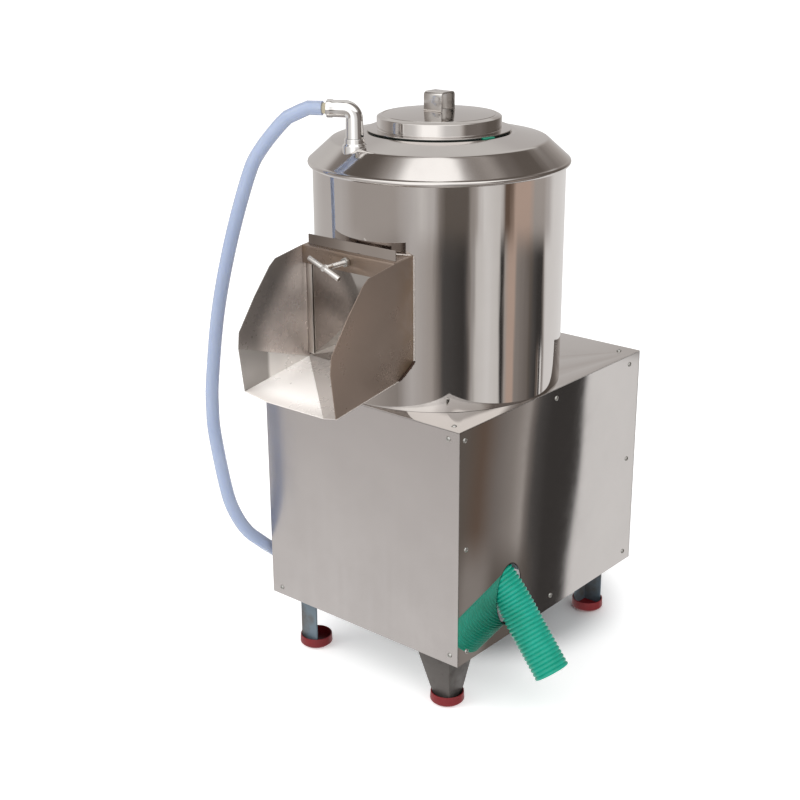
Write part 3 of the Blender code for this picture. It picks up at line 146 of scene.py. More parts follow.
# In edit mode: merges what lies within the gap, turns the faces outward and leaves edit mode
def mendMesh(gap=0.00001):
    bpy.ops.mesh.select_all(action="SELECT")
    if gap:
        bpy.ops.mesh.remove_doubles(threshold=gap)
    bpy.ops.mesh.normals_make_consistent(inside=False)
    bpy.ops.object.mode_set(mode="OBJECT")


# One point is drawn out edge by edge through all points, and edit mode is left on
def drawChain(name, points):
    clearSelection()
    bpy.ops.mesh.primitive_plane_add(size=0.01, location=(0, 0, 0))
    piece = takePiece(name)
    bpy.ops.object.mode_set(mode="EDIT")
    bpy.ops.mesh.merge(type="CENTER")
    bpy.ops.transform.translate(value=points[0])
    for here, there in zip(points, points[1:]):
        step = [b - a for a, b in zip(here, there)]
        bpy.ops.mesh.extrude_region_move(TRANSFORM_OT_translate={"value": step})
    bpy.ops.mesh.select_all(action="SELECT")
    return piece


# The profile is drawn beside the axis, then spun
def turnPiece(name, centre, profile, steps, closed=True):
    points = [*profile, profile[0]] if closed else profile
    piece = drawChain(name, [(centre[0] + r, centre[1], z) for r, z in points])
    bpy.ops.mesh.remove_doubles(threshold=0.00001)
    bpy.ops.mesh.spin(steps=steps, angle=math.tau, center=(*centre, 0), axis=(0, 0, 1))
    mendMesh()
    return piece


# Points of an arc, from an angle through a turn, both in degrees
def arcPoints(centre, radius, start, turned, steps):
    angles = [math.radians(start + turned * i / steps) for i in range(steps + 1)]
    return [(centre[0] + radius * math.cos(a), centre[1] + radius * math.sin(a)) for a in angles]


# Each (radius, height, rounding) corner becomes an arc of a few points
def softProfile(points, steps=5):
    count = len(points)
    out = []
    for i, (r, z, *rounding) in enumerate(points):
        if not rounding:
            out.append((r, z))
            continue
        here = Vector((r, z))
        before = Vector(points[i - 1][:2]) - here
        after = Vector(points[(i + 1) % count][:2]) - here
        half = before.angle(after) / 2
        reach = min(rounding[0] / math.tan(half), before.length * 0.45, after.length * 0.45)
        a, b = here + before.normalized() * reach, here + after.normalized() * reach
        for k in range(steps + 1):
            t = k / steps
            spot = a * (1 - t) ** 2 + here * 2 * t * (1 - t) + b * t**2
            out.append((spot.x, spot.y))
    return out


# A round tube along the points, made a mesh
def sweep(name, points, radius, shares=None, steps=10, loop=False):
    curve = bpy.data.curves.new(name, "CURVE")
    curve.dimensions = "3D"
    spline = curve.splines.new("POLY")
    spline.points.add(len(points) - 1)
    for i, (spot, point) in enumerate(zip(spline.points, points)):
        spot.co = (*point, 1)
        spot.radius = shares[i] if shares else 1
    spline.use_cyclic_u = loop
    curve.bevel_depth = radius
    curve.bevel_resolution = steps
    curve.use_fill_caps = not loop
    curve.twist_mode = "MINIMUM"
    piece = bpy.data.objects.new(name, curve)
    bpy.context.scene.collection.objects.link(piece)
    pick(piece)
    bpy.ops.object.convert(target="MESH")
    piece = takePiece(name)
    bpy.ops.object.mode_set(mode="EDIT")
    mendMesh(0.000005)
    return piece


# An evenly spaced line along a smooth curve through the points
def smoothRoute(points, spacing):
    knots = [Vector(p) for p in points]
    knots = [2 * knots[0] - knots[1]] + knots + [2 * knots[-1] - knots[-2]]
    fine = []
    for a, b, c, d in zip(knots, knots[1:], knots[2:], knots[3:]):
        for i in range(24):
            t = i / 24
            fine.append((2 * b + (c - a) * t + (2 * a - 5 * b + 4 * c - d) * t**2
                         + (3 * b - a - 3 * c + d) * t**3) / 2)
    fine.append(knots[-2])
    run = [0]
    for p, q in zip(fine, fine[1:]):
        run.append(run[-1] + (q - p).length)
    steps = max(2, round(run[-1] / spacing))
    found, at = [fine[0]], 0
    for i in range(1, steps):
        want = run[-1] * i / steps
        while run[at + 1] < want:
            at += 1
        found.append(fine[at].lerp(fine[at + 1], (want - run[at]) / (run[at + 1] - run[at])))
    return found + [fine[-1]]


# A face through the points, pushed to a plate where push is given
def drawFace(name, points, push=None):
    piece = drawChain(name, points)
    bpy.ops.mesh.edge_face_add()
    if push:
        bpy.ops.mesh.extrude_region_move(TRANSFORM_OT_translate={"value": push})
    mendMesh(gap=0)
    return piece


def joinPieces(name, *pieces, weld=False):
    pick(pieces[0])
    for piece in pieces[1:]:
        piece.select_set(True)
    bpy.ops.object.join()
    piece = takePiece(name)
    if weld:
        bpy.ops.object.mode_set(mode="EDIT")
        mendMesh()
    return piece


def finishPiece(piece, finish, slot, *replaced, body="machine", angle=30):
    piece.location = cabinetCentre
    applyPlace(piece)
    bpy.ops.object.shade_smooth_by_angle(angle=math.radians(angle))
    piece.data.materials.clear()
    piece.data.materials.append(finishes[finish])
    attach(piece, body)
    if replaced:
        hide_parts(*replaced)


def dressNode(finish, *names, edge=0.0):
    for name in names:
        node = nodes[name]
        node.data.materials.clear()
        node.data.materials.append(finishes[finish])
        if edge:
            node.modifiers.new("weld", "WELD").merge_threshold = 0.00001
            bevel = node.modifiers.new("bevel", "BEVEL")
            bevel.width, bevel.segments, bevel.limit_method = edge, 2, "ANGLE"
            bevel.angle_limit = math.radians(40)


# Material helpers: every finish is kept under its name
finishes = {}


def newFinish(name):
    finish = finishes[name] = bpy.data.materials.new(name)
    finish.use_nodes = True
    return finish, finish.node_tree.nodes["Principled BSDF"]


def plug(tree, source, socket):
    if isinstance(source, bpy.types.NodeSocket):
        tree.links.new(source, socket)
    else:
        socket.default_value = source


def mathNode(tree, operation, a, b=0.0, clamp=False):
    made = tree.nodes.new("ShaderNodeMath")
    made.operation = operation
    made.use_clamp = clamp
    plug(tree, a, made.inputs[0])
    plug(tree, b, made.inputs[1])
    return made.outputs[0]


def rangeNode(tree, source, low, high, toLow=0.0, toHigh=1.0, soft=False):
    made = tree.nodes.new("ShaderNodeMapRange")
    made.interpolation_type = "SMOOTHSTEP" if soft else "LINEAR"
    for key, value in zip(("Value", "From Min", "From Max", "To Min", "To Max"),
                          (source, low, high, toLow, toHigh)):
        plug(tree, value, made.inputs[key])
    return made.outputs[0]


def mixNode(tree, factor, a, b):
    made = tree.nodes.new("ShaderNodeMix")
    made.data_type = "RGBA"
    for key, value in zip((0, 6, 7), (factor, a, b)):
        if isinstance(value, tuple):
            value = (*value[:3], 1)
        plug(tree, value, made.inputs[key])
    return made.outputs[2]


def placeNode(tree, stretch=(1, 1, 1)):
    coords = tree.nodes.new("ShaderNodeTexCoord")
    made = tree.nodes.new("ShaderNodeMapping")
    made.inputs["Scale"].default_value = stretch
    made.inputs["Location"].default_value = [-c * share for c, share in zip(cabinetCentre, stretch)]
    tree.links.new(coords.outputs["Object"], made.inputs["Vector"])
    return made.outputs[0]


def noiseNode(tree, place, size, detail, rough):
    made = tree.nodes.new("ShaderNodeTexNoise")
    for key, value in zip(("Vector", "Scale", "Detail", "Roughness"), (place, size, detail, rough)):
        plug(tree, value, made.inputs[key])
    return made.outputs[0]


def bumpNode(tree, height, distance, strength=1.0, under=None):
    made = tree.nodes.new("ShaderNodeBump")
    plug(tree, height, made.inputs["Height"])
    made.inputs["Distance"].default_value = distance
    made.inputs["Strength"].default_value = strength
    if under:
        tree.links.new(under, made.inputs["Normal"])
    return made.outputs[0]


def splitPlace(tree):
    made = tree.nodes.new("ShaderNodeSeparateXYZ")
    tree.links.new(placeNode(tree), made.inputs[0])
    return made.outputs


print("helpers ready")


# The drum's place and the drain hole on the hose's sloping axis: finishes depend on both
drum = {"centre": (0, -0.05), "outer": 0.197, "inner": 0.1955, "low": 0.4903, "high": 0.8327}
drainHole = {
    "spot": Vector((0.2, -0.117, 0.174)), "way": Vector((0.0436, 0, -0.055)).normalized(), "radius": 0.0326,
}


# Steel sheet: grain runs along one axis, waves bend the reflections, marks roughen it; the tint mask blends the base
# towards the shade colour, heat tint in chuteTint and painted shade in the other masks
def steelFinish(name, colour, rough, waveSize=7.0, waves=0.0004, marks=0.05, metal=1.0, tint=None,
                shade=(0.27, 0.185, 0.12), grain=(1, 1, 1), grainDepth=0.0):
    finish, shader = newFinish(name)
    tree = finish.node_tree
    place = placeNode(tree)
    cloud = noiseNode(tree, place, 9.0, 4.0, 0.6)
    fine = noiseNode(tree, placeNode(tree, grain), 60.0, 3.0, 0.6)
    darker = tuple(c * 0.82 for c in colour)
    tone = mixNode(tree, rangeNode(tree, cloud, 0.35, 0.7, 0.0, 0.25), colour, darker)
    if tint:
        tone = mixNode(tree, tint(tree), tone, shade)
    plug(tree, tone, shader.inputs["Base Color"])
    shader.inputs["Metallic"].default_value = metal
    worn = rangeNode(tree, cloud, 0.4, 0.7, rough, rough + marks)
    uneven = rangeNode(tree, fine, 0.4, 0.6, -0.1 * rough, 0.1 * rough)
    plug(tree, mathNode(tree, "ADD", worn, uneven), shader.inputs["Roughness"])
    normal = None
    if waves:
        normal = bumpNode(tree, noiseNode(tree, place, waveSize, 1.5, 0.4), waves)
    if grainDepth:
        normal = bumpNode(tree, fine, grainDepth, 0.6, normal)
    if normal:
        plug(tree, normal, shader.inputs["Normal"])


def radiusAt(tree, centre):
    squares = [mathNode(tree, "POWER", mathNode(tree, "SUBTRACT", place, middle), 2.0)
               for place, middle in zip(splitPlace(tree), centre)]
    return mathNode(tree, "SQRT", mathNode(tree, "ADD", *squares))


def vectorNode(tree, operation, a, b=(0, 0, 0), out="Vector"):
    made = tree.nodes.new("ShaderNodeVectorMath")
    made.operation = operation
    plug(tree, a, made.inputs[0])
    plug(tree, b, made.inputs[1])
    return made.outputs[out]


def distanceTo(tree, spot):
    return vectorNode(tree, "DISTANCE", placeNode(tree), spot, "Value")


# Painted shade: the drain hole's cut edge and a thin ring round it are darkened
def holeShade(tree):
    across = vectorNode(tree, "CROSS_PRODUCT", vectorNode(tree, "SUBTRACT", placeNode(tree), drainHole["spot"]),
                        drainHole["way"])
    return rangeNode(tree, vectorNode(tree, "LENGTH", across, out="Value"), 0.0329, 0.0342, 1.0, 0.0)


# Brown heat tint of the chute beside the drum, darkest at its lower rear corner
def chuteTint(tree):
    beside = rangeNode(tree, radiusAt(tree, drum["centre"]), 0.199, 0.236, 0.75, 0.0)
    blotch = noiseNode(tree, placeNode(tree), 34.0, 4.0, 0.6)
    beside = mathNode(tree, "MULTIPLY", beside, rangeNode(tree, blotch, 0.35, 0.62, 0.25, 1.0))
    corner = rangeNode(tree, distanceTo(tree, (0.093, -0.236, 0.56)), 0.006, 0.034, 1.0, 0.0)
    other = rangeNode(tree, distanceTo(tree, (-0.093, -0.262, 0.726)), 0.003, 0.016, 0.9, 0.0)
    return mathNode(tree, "MAXIMUM", beside, mathNode(tree, "MAXIMUM", corner, other), clamp=True)


# The left cheek darkens towards its front and along its slanted edge
def cheekShade(tree):
    y, z = splitPlace(tree)[1:]
    inward = mathNode(tree, "SUBTRACT", mathNode(tree, "MULTIPLY", y, 0.79), mathNode(tree, "MULTIPLY", z, 0.613))
    slanted = rangeNode(tree, inward, -0.64, -0.68, 0.0, 0.9, soft=True)
    return mathNode(tree, "MAXIMUM", slanted, rangeNode(tree, y, -0.335, -0.376, 0.0, 0.9, soft=True))


# A shade that grows along one axis
def shadeAlong(axis, start, end, most, soft=True):
    return lambda tree: rangeNode(tree, splitPlace(tree)[axis], start, end, 0.0, most, soft=soft)


steelFinish("panelSteel", (0.66, 0.63, 0.62), 0.2, 3.0, grain=(1, 1, 0.04), grainDepth=0.00001)
steelFinish("mirrorSteel", (0.66, 0.63, 0.61), 0.07, 4.5, 0.0005)
# The right sheet's tint is painted shade round the drain hole
steelFinish("sideSteel", (0.66, 0.635, 0.62), 0.026, 2.6, 0.0006, 0.006, tint=holeShade,
            shade=(0.02, 0.02, 0.02))
steelFinish("drumSteel", (0.68, 0.65, 0.63), 0.038, 5.0, marks=0.03)
steelFinish("chuteSteel", (0.3, 0.235, 0.195), 0.28, marks=0.1, metal=0.7, tint=chuteTint)
steelFinish("cheekSteel", (0.6, 0.535, 0.5), 0.24, marks=0.1, metal=0.6, tint=cheekShade,
            shade=(0.16, 0.145, 0.135))
# The chute floor's lit faces: a lighter copy of the floor's steel, painted light, with painted shade towards the lip;
# its scuff marks are real
steelFinish("scuffedLitSteel", (0.95, 0.92, 0.89), 0.24, 14.0, marks=0.14, metal=0.2,
            tint=shadeAlong(1, -0.365, -0.394, 0.6), shade=(0.5, 0.46, 0.43))
# The wing: a lighter copy of the cheek's steel, painted light, with painted shade on its front part
steelFinish("wingLitSteel", (0.8, 0.77, 0.74), 0.24, 14.0, marks=0.16, metal=0.4,
            tint=shadeAlong(1, -0.341, -0.35, 0.9), shade=(0.26, 0.24, 0.225))
steelFinish("satinSteel", (0.76, 0.74, 0.72), 0.17, waves=0.0, marks=0.06)
# The chute floor's shaded faces: a darker copy of the same steel, painted shade
steelFinish("shadedFoldSteel", (0.6, 0.56, 0.53), 0.24, 14.0, marks=0.16, metal=0.5)
steelFinish("gateSteel", (0.41, 0.385, 0.365), 0.06, tint=shadeAlong(2, 0.724, 0.729, 0.7, soft=False),
            shade=(0.34, 0.29, 0.26))
steelFinish("wornSteel", (0.6, 0.57, 0.54), 0.3, 20.0, 0.0003, 0.14)
steelFinish("weldSteel", (0.66, 0.61, 0.57), 0.3, 120.0, 0.0006, 0.2, metal=0.6)
steelFinish("chromeMetal", (0.82, 0.81, 0.8), 0.05, waves=0.0, marks=0.03)
steelFinish("zincSteel", (0.6, 0.6, 0.58), 0.32, 60.0, 0.0002, 0.15)
steelFinish("brightSteel", (0.8, 0.78, 0.76), 0.24, waves=0.0, marks=0.1)


# Paint, rubber, castings and plastic: two tones in a cloud, and a fine grit
def plainFinish(name, colour, rough, grit=0.0, gritSize=60.0, second=None, share=(0.5, 0.7), metal=0.0):
    finish, shader = newFinish(name)
    tree = finish.node_tree
    place = placeNode(tree)
    cloud = noiseNode(tree, place, 14.0, 5.0, 0.6)
    tone = mixNode(tree, rangeNode(tree, cloud, *share), colour, second or tuple(c * 0.8 for c in colour))
    plug(tree, tone, shader.inputs["Base Color"])
    plug(tree, rangeNode(tree, cloud, 0.3, 0.7, rough - 0.06, rough + 0.08), shader.inputs["Roughness"])
    shader.inputs["Metallic"].default_value = metal
    if grit:
        plug(tree, bumpNode(tree, noiseNode(tree, place, gritSize, 4.0, 0.6), grit), shader.inputs["Normal"])


for settings in (
    ("framePaint", (0.13, 0.175, 0.21), 0.42, 0.0004, 90.0, (0.1, 0.095, 0.09), (0.5, 0.64)),
    ("legSteel", (0.125, 0.115, 0.108), 0.36, 0.0004, 90.0, (0.07, 0.06, 0.055), (0.5, 0.62), 0.4),
    ("castIron", (0.12, 0.125, 0.13), 0.55, 0.0008, 160.0, (0.18, 0.18, 0.18), (0.5, 0.7), 0.6),
    ("motorPaint", (0.07, 0.1, 0.13), 0.45, 0.0004, 140.0),
    ("abrasiveGrit", (0.16, 0.15, 0.14), 0.85, 0.003, 260.0, (0.3, 0.28, 0.26), (0.45, 0.6)),
    ("redRubber", (0.2, 0.01, 0.014), 0.42, 0.0005, 70.0, (0.13, 0.02, 0.02), (0.5, 0.75)),
    ("blackRubber", (0.02, 0.02, 0.022), 0.6, 0.0003, 120.0),
    ("greenRubber", (0.01, 0.26, 0.16), 0.5, 0.0003, 120.0),
    ("darkGreenRubber", (0.02, 0.034, 0.03), 0.5, 0.0003, 120.0),
    ("burntWeld", (0.035, 0.018, 0.012), 0.5, 0.0008, 260.0, (0.1, 0.05, 0.03), (0.5, 0.7), 0.5),
    ("blackNylon", (0.018, 0.018, 0.018), 0.38),
    ("sealTape", (0.52, 0.45, 0.28), 0.6, 0.0006, 300.0, (0.62, 0.57, 0.45), (0.4, 0.6)),
    ("greenHose", (0.004, 0.33, 0.22), 0.3, 0.0003, 40.0, (0.01, 0.4, 0.29), (0.45, 0.65)),
):
    plainFinish(*settings)


# Light blue hose: a clear outer wall over a tinted core
def hoseFinish():
    finish, shader = newFinish("blueHose")
    tree = finish.node_tree
    cloud = noiseNode(tree, placeNode(tree), 16.0, 3.0, 0.5)
    tone = mixNode(tree, cloud, (0.38, 0.46, 0.64), (0.48, 0.55, 0.72))
    plug(tree, tone, shader.inputs["Base Color"])
    for key, value in (
        ("Roughness", 0.22), ("Transmission Weight", 0.25), ("Subsurface Weight", 0.25),
        ("Subsurface Radius", (0.004, 0.005, 0.008)), ("Subsurface Scale", 1.0), ("Coat Weight", 0.4),
        ("Coat Roughness", 0.08),
    ):
        shader.inputs[key].default_value = value


hoseFinish()
print("finishes ready")

# Hoses first: the blue water hose and the green drain hose
blueHose = {
    "start": (-0.08001, -0.2262, 0.929), "radius": 0.01075, "level": 0.01305,
    "lead": (-0.88862, -0.45865, 0.0), "coilCentre": (-0.1, 0.41), "coilStart": 0.13, "coilGap": 0.0015,
    "coilTurns": 2.2, "coilSteps": 48,
    "route": (
        (-0.1165, -0.2448, 0.9205), (-0.1345, -0.2535, 0.9085), (-0.1697, -0.2714, 0.862),
        (-0.1876, -0.2805, 0.8226), (-0.2168, -0.2952, 0.7208), (-0.2407, -0.3073, 0.6078),
        (-0.255, -0.3145, 0.4918), (-0.2573, -0.316, 0.4399), (-0.2535, -0.3168, 0.3922),
        (-0.241, -0.3085, 0.2929), (-0.2335, -0.2962, 0.2469), (-0.2275, -0.278, 0.2138),
        (-0.224, -0.256, 0.1911), (-0.2225, -0.2302, 0.1673), (-0.224, -0.16, 0.11),
        (-0.2265, -0.09, 0.059), (-0.2285, -0.02, 0.027), (-0.23, 0.06, 0.014),
        (-0.23, 0.16, 0.01305), (-0.23, 0.26, 0.01305), (-0.23, 0.35, 0.01305),
    ),
}


def waterHoseLine():
    put = blueHose
    start, lead = Vector(put["start"]), Vector(put["lead"])
    centreX, centreY = put["coilCentre"]
    joint = Vector((centreX - put["coilStart"], centreY, put["level"]))
    straight = 2 * put["radius"]
    points = [start + lead * straight, *put["route"], joint - Vector((0, straight, 0))]
    line = [start] + smoothRoute(points, 0.012) + [joint]
    pitch = 2 * put["radius"] + put["coilGap"]
    for i in range(1, round(put["coilTurns"] * put["coilSteps"]) + 1):
        turned = math.pi - math.tau * i / put["coilSteps"]
        radius = put["coilStart"] - pitch * i / put["coilSteps"]
        line.append(Vector((centreX + radius * math.cos(turned), centreY + radius * math.sin(turned), put["level"])))
    return line


hoseLine = waterHoseLine()
waterHose = sweep("waterHose", hoseLine, blueHose["radius"], steps=12)
finishPiece(waterHose, "blueHose", "blue_hose", "water_hose", "hose_coil")

# Green drain hose: rings of ribs along a bent bore
drainHose = {
    "radius": 0.0296, "bore": 0.0247, "pitch": 0.007, "rib": 0.0022, "steps": 6,
    "top": (0.115, -0.15, 0.49),
    "route": (
        (0, 0, 0.014), (0, 0, 0.05), (0, 0, 0.09), (0.002, 0.002, 0.145), (0.015, 0.011, 0.205),
        (0.042, 0.024, 0.26), (0.085, 0.033, 0.316), (0.1286, 0.033, 0.371), (0.1722, 0.033, 0.426),
    ),
}


def drainPiece():
    put = drainHose
    top = Vector(put["top"])
    route = [top + Vector((right, back, -down)) for right, back, down in put["route"]]
    line = smoothRoute(route, put["pitch"] / put["steps"])
    shares = []
    for i in range(len(line)):
        wave = 0.5 - 0.5 * math.cos(math.tau * i / put["steps"])
        shares.append(1 - put["rib"] / put["radius"] * (1 - wave**0.6))
    piece = sweep("drainHose", line, put["radius"], shares, steps=14)
    plain = line[::4] + [line[-1]]
    before, after = (plain[0] - plain[1]).normalized(), (plain[-1] - plain[-3]).normalized()
    through = [plain[0] + before * 0.01, *plain, plain[-1] + after * 0.01]
    cutAway(piece, sweep("drainBore", through, put["bore"], steps=14))
    return piece


finishPiece(drainPiece(), "greenHose", "green_hose", "drain_hose", angle=60)
print("drain hose laid")

# Shoes and legs
feet = {
    "spreadX": 0.145, "spreadY": 0.205, "radius": 0.027, "bore": 0.02525, "height": 0.0185,
    "floor": 0.0045, "flange": 0.035, "wall": 0.003, "brace": 0.074, "bottom": 0.0048, "top": 0.1015,
}
for end, wayY in (("front", -1), ("rear", 1)):
    for side, wayX in (("left", -1), ("right", 1)):
        shoe = turnPiece(f"shoe{end}{side}", (wayX * feet["spreadX"], wayY * feet["spreadY"]), softProfile([
            (0, feet["floor"]), (feet["bore"], feet["floor"], 0.002), (feet["bore"], feet["height"], 0.0006),
            (feet["radius"], feet["height"], 0.0008), (feet["radius"] + 0.0008, feet["floor"], 0.003),
            (feet["radius"] - 0.0045, 0, 0.001), (0, 0),
        ]), 72, closed=False)
        finishPiece(shoe, "redRubber", "red_rubber", f"shoe_{end}_{side}")


def bracedLeg():
    put = feet
    heelX, heelY = put["spreadX"] + put["flange"] / 2, -put["spreadY"] - put["flange"] / 2
    shape = ((0, put["bottom"]), (put["flange"], put["bottom"]), (put["flange"], put["height"]),
             (put["brace"], put["top"]), (0, put["top"]))
    front = drawFace("legFront", [(heelX - a, heelY, z) for a, z in shape], (0, put["wall"], 0))
    side = drawFace("legSide", [(heelX, heelY + a, z) for a, z in shape], (-put["wall"], 0, 0))
    cutAway(front, side, operation="UNION")
    roundEdges(front, 0.0008)
    return front


finishPiece(bracedLeg(), "legSteel", "painted_iron", "leg_front_right")
dressNode("framePaint", "leg_front_left", "leg_rear_left", "leg_rear_right", edge=0.0007)
dressNode("framePaint", "frame_bottom_ring", "frame_top_ring", "motor_mount", "bearing_bridge",
          *[name for name in nodes if name.startswith(("corner_post", "motor_crossbar"))], edge=0.0005)
print("feet and frame dressed")

# Cabinet sheets: each has its bottom edge folded back under the frame
cabinet = {
    "halfX": 0.2, "halfY": 0.25, "low": 0.1, "high": 0.49, "sheet": 0.0015, "fit": 0.0003,
    "fold": 0.012, "edge": 0.0004,
}
vents = {"rows": 5, "low": 0.33, "pitch": 0.016, "height": 0.005, "middle": 0.05, "half": 0.03, "round": 0.0015}
glandSpot = (0.12, 0.16)


# Front and rear sheets cover the edges of the side sheets
def cabinetPanel(name, way, sideways):
    put = cabinet
    depth, span, inset = put["halfY"], put["halfX"], put["sheet"]
    if sideways:
        depth, span, inset = put["halfX"], put["halfY"] - put["sheet"] - put["fit"], 0
    outer = way * depth

    def plate(title, reach, inside, top):
        low, high = (-reach, min(outer, inside)), (reach, max(outer, inside))
        if sideways:
            low, high = low[::-1], high[::-1]
        return addBlock(title, (*low, put["low"]), (*high, top))

    panel = plate(name, span, way * (depth - put["sheet"]), put["high"] - put["sheet"] - put["fit"])
    fold = plate("fold", span - put["fold"] - inset, way * (depth - put["fold"]), put["low"] + put["sheet"])
    cutAway(panel, fold, operation="UNION")
    return panel


def cutRear(panel):
    for column in (-1, 1):
        for row in range(vents["rows"]):
            low, middle = vents["low"] + row * vents["pitch"], column * vents["middle"]
            cutAway(panel, addBlock("vent", (middle - vents["half"], 0.24, low),
                                    (middle + vents["half"], 0.26, low + vents["height"]), vents["round"]))
    cutAway(panel, lyingRod("glandHole", glandSpot, 0.24, 0.26, 0.0103))


def cutRight(panel):
    way = drainHole["way"] * 0.1
    cutAway(panel, addRod("drainHole", drainHole["spot"] - way, drainHole["spot"] + way, drainHole["radius"], 96))


for side, way, sideways, cut in (
    ("front", -1, False, None), ("rear", 1, False, cutRear), ("left", -1, True, None), ("right", 1, True, cutRight),
):
    panel = cabinetPanel(side + "Panel", way, sideways)
    if cut:
        cut(panel)
    roundEdges(panel, cabinet["edge"])
    look = ("sideSteel", "polished_steel") if side == "right" else ("panelSteel", "brushed_steel")
    finishPiece(panel, *look, side + "_panel")
topPlate = addBlock("topPlate", (-cabinet["halfX"], -cabinet["halfY"], cabinet["high"] - cabinet["sheet"]),
                    (cabinet["halfX"], cabinet["halfY"], cabinet["high"]))
for name, spot, radius in (("neckHole", drum["centre"], 0.0275), ("spoutHole", drainHose["top"][:2], 0.0238)):
    cutAway(topPlate, standingRod(name, spot, 0.47, 0.51, radius, 64))
roundEdges(topPlate, cabinet["edge"])
finishPiece(topPlate, "mirrorSteel", "polished_steel", "top_plate")
print("cabinet made")

# Pan-head screws with a cross recess
screwHead = {"radius": 0.0042, "height": 0.0022, "slot": 0.0008, "reach": 0.0024, "root": -0.0012, "under": 0.00005}
sideSpots = ((-0.2367, 0.4743), (0.0, 0.4735), (0.2184, 0.4728), (0.2244, 0.2984), (0.2279, 0.1187),
             (-0.2315, 0.2954), (0.0011, 0.1232), (-0.2273, 0.1187))
endSpots = ((0.1794, 0.4756), (0.1847, 0.1163), (-0.179, 0.1134), (-0.1805, 0.475))
topSpots = ((0.1775, -0.2336), (0.1693, -0.1116), (0.1737, 0.2255), (-0.1775, -0.233), (-0.1737, 0.2255),
            (0.0, 0.23))


def oneScrew(name, turned):
    put = screwHead
    radius, height = put["radius"], put["height"]
    head = turnPiece(name, (0, 0), softProfile([
        (0, put["root"]), (radius * 0.6, put["root"]), (radius * 0.6, put["under"]), (radius, put["under"], 0.0002),
        (radius * 0.9, height * 0.55, 0.001), (radius * 0.45, height, 0.002), (0, height),
    ], 3), 24, closed=False)
    for spin in (0, 90):
        bar = addBlock("slot", (-put["reach"], -put["slot"] / 2, height * 0.5), (put["reach"], put["slot"] / 2, 0.004))
        bar.rotation_euler.z = math.radians(spin + turned)
        applyPlace(bar)
        cutAway(head, bar)
    return head


def screwSet(name, normal, spots):
    made = []
    for i, spot in enumerate(spots):
        head = oneScrew(f"{name}{i}", random.uniform(0, 90))
        head.rotation_euler = Vector(normal).to_track_quat("Z", "Y").to_euler()
        head.location = spot
        applyPlace(head)
        made.append(head)
    finishPiece(joinPieces(name, *made), "zincSteel", "zinc_steel")
    print(name, len(spots))


random.seed(4)
for name, way in (("rightScrews", 1), ("leftScrews", -1)):
    screwSet(name, (way, 0, 0), [(way * cabinet["halfX"], y, z) for y, z in sideSpots])
for name, way in (("frontScrews", -1), ("rearScrews", 1)):
    screwSet(name, (0, way, 0), [(x, way * cabinet["halfY"], z) for x, z in endSpots])
screwSet("topScrews", (0, 0, 1), [(x, y, cabinet["high"]) for x, y in topSpots])

# Drum shell, lining and shoulder
liner = {"outer": 0.1952, "inner": 0.189, "low": 0.556, "high": 0.8227}
opening = {"half": 0.085, "front": -0.257, "low": 0.56, "high": 0.7, "behind": 0.04}


def ringPiece(name, put, steps, *rounding):
    outer, inner, low, high = put["outer"], put["inner"], put["low"], put["high"]
    return turnPiece(name, drum["centre"], softProfile([
        (outer, high, *rounding), (outer, low, *rounding), (inner, low), (inner, high),
    ], 3), steps)


def wallPiece(name, put, steps, face):
    wall, half = ringPiece(name, put, steps), opening["half"]
    back = drum["centre"][1] - face + opening["behind"]
    cutAway(wall, addBlock("opening", (-half, opening["front"], opening["low"]), (half, back, opening["high"])))
    return wall


finishPiece(wallPiece("drumShell", drum, 192, drum["outer"]), "drumSteel", "polished_steel", "drum_shell")
finishPiece(wallPiece("lining", liner, 160, liner["inner"]), "abrasiveGrit", "abrasive_grit", "abrasive_liner")

# The cones have points near both ends, so that their smooth shading stays straight between them
collar = {
    "mouth": 0.0985, "seat": 0.1185, "seatTop": 0.8832, "knee": 0.168, "kneeTop": 0.872, "rim": 0.2045,
    "rimTop": 0.8375, "bead": 0.0045, "lip": 0.0132, "sheet": 0.0015, "spigot": 0.1952,
    "upperCone": ((0.125, 0.88173), (0.162, 0.87336)), "lowerCone": ((0.1728, 0.8677), (0.2003, 0.84304)),
}


def drumCollar():
    put = collar
    mouth, seatTop, rimTop, bead, thin = put["mouth"], put["seatTop"], put["rimTop"], put["bead"], put["sheet"]
    return turnPiece("drumCollar", drum["centre"], softProfile([
        (mouth, seatTop, 0.0015), (put["seat"], seatTop, 0.008), *put["upperCone"],
        (put["knee"], put["kneeTop"], 0.012), *put["lowerCone"],
        *arcPoints((put["rim"] - bead, rimTop), bead, 65, -155, 16),
        (put["spigot"], rimTop - bead), (put["spigot"], rimTop - bead / 2),
        (put["rim"] - 1.3 * bead, rimTop + bead / 2), (put["knee"] - thin / 2, put["kneeTop"] - thin * 1.25, 0.012),
        (put["seat"] - 0.0003, seatTop - thin, 0.008), (mouth + thin, seatTop - thin, 0.001),
        (mouth + thin, seatTop - put["lip"]), (mouth, seatTop - put["lip"]),
    ], 6), 192)


# The water inlet's hole goes through the collar
inlet = {
    "spot": (-0.037, -0.204), "bore": 0.0085, "socket": 0.0185, "socketTop": 0.876, "low": 0.864,
    "neck": 0.0155, "neckLow": 0.879, "top": 0.8862, "axis": 0.929, "radius": 0.0135, "reach": 0.041,
    "bend": 0.014, "turn": math.radians(207.3),
}


def inletBore(name, steps):
    return standingRod(name, inlet["spot"], 0.85, 0.9, inlet["bore"], steps)


collarPiece = drumCollar()
cutAway(collarPiece, inletBore("waterHole", 32))
finishPiece(collarPiece, "mirrorSteel", "polished_steel", "drum_collar")
dressNode("wornSteel", "drum_floor", "drain_spout")
print("drum made")

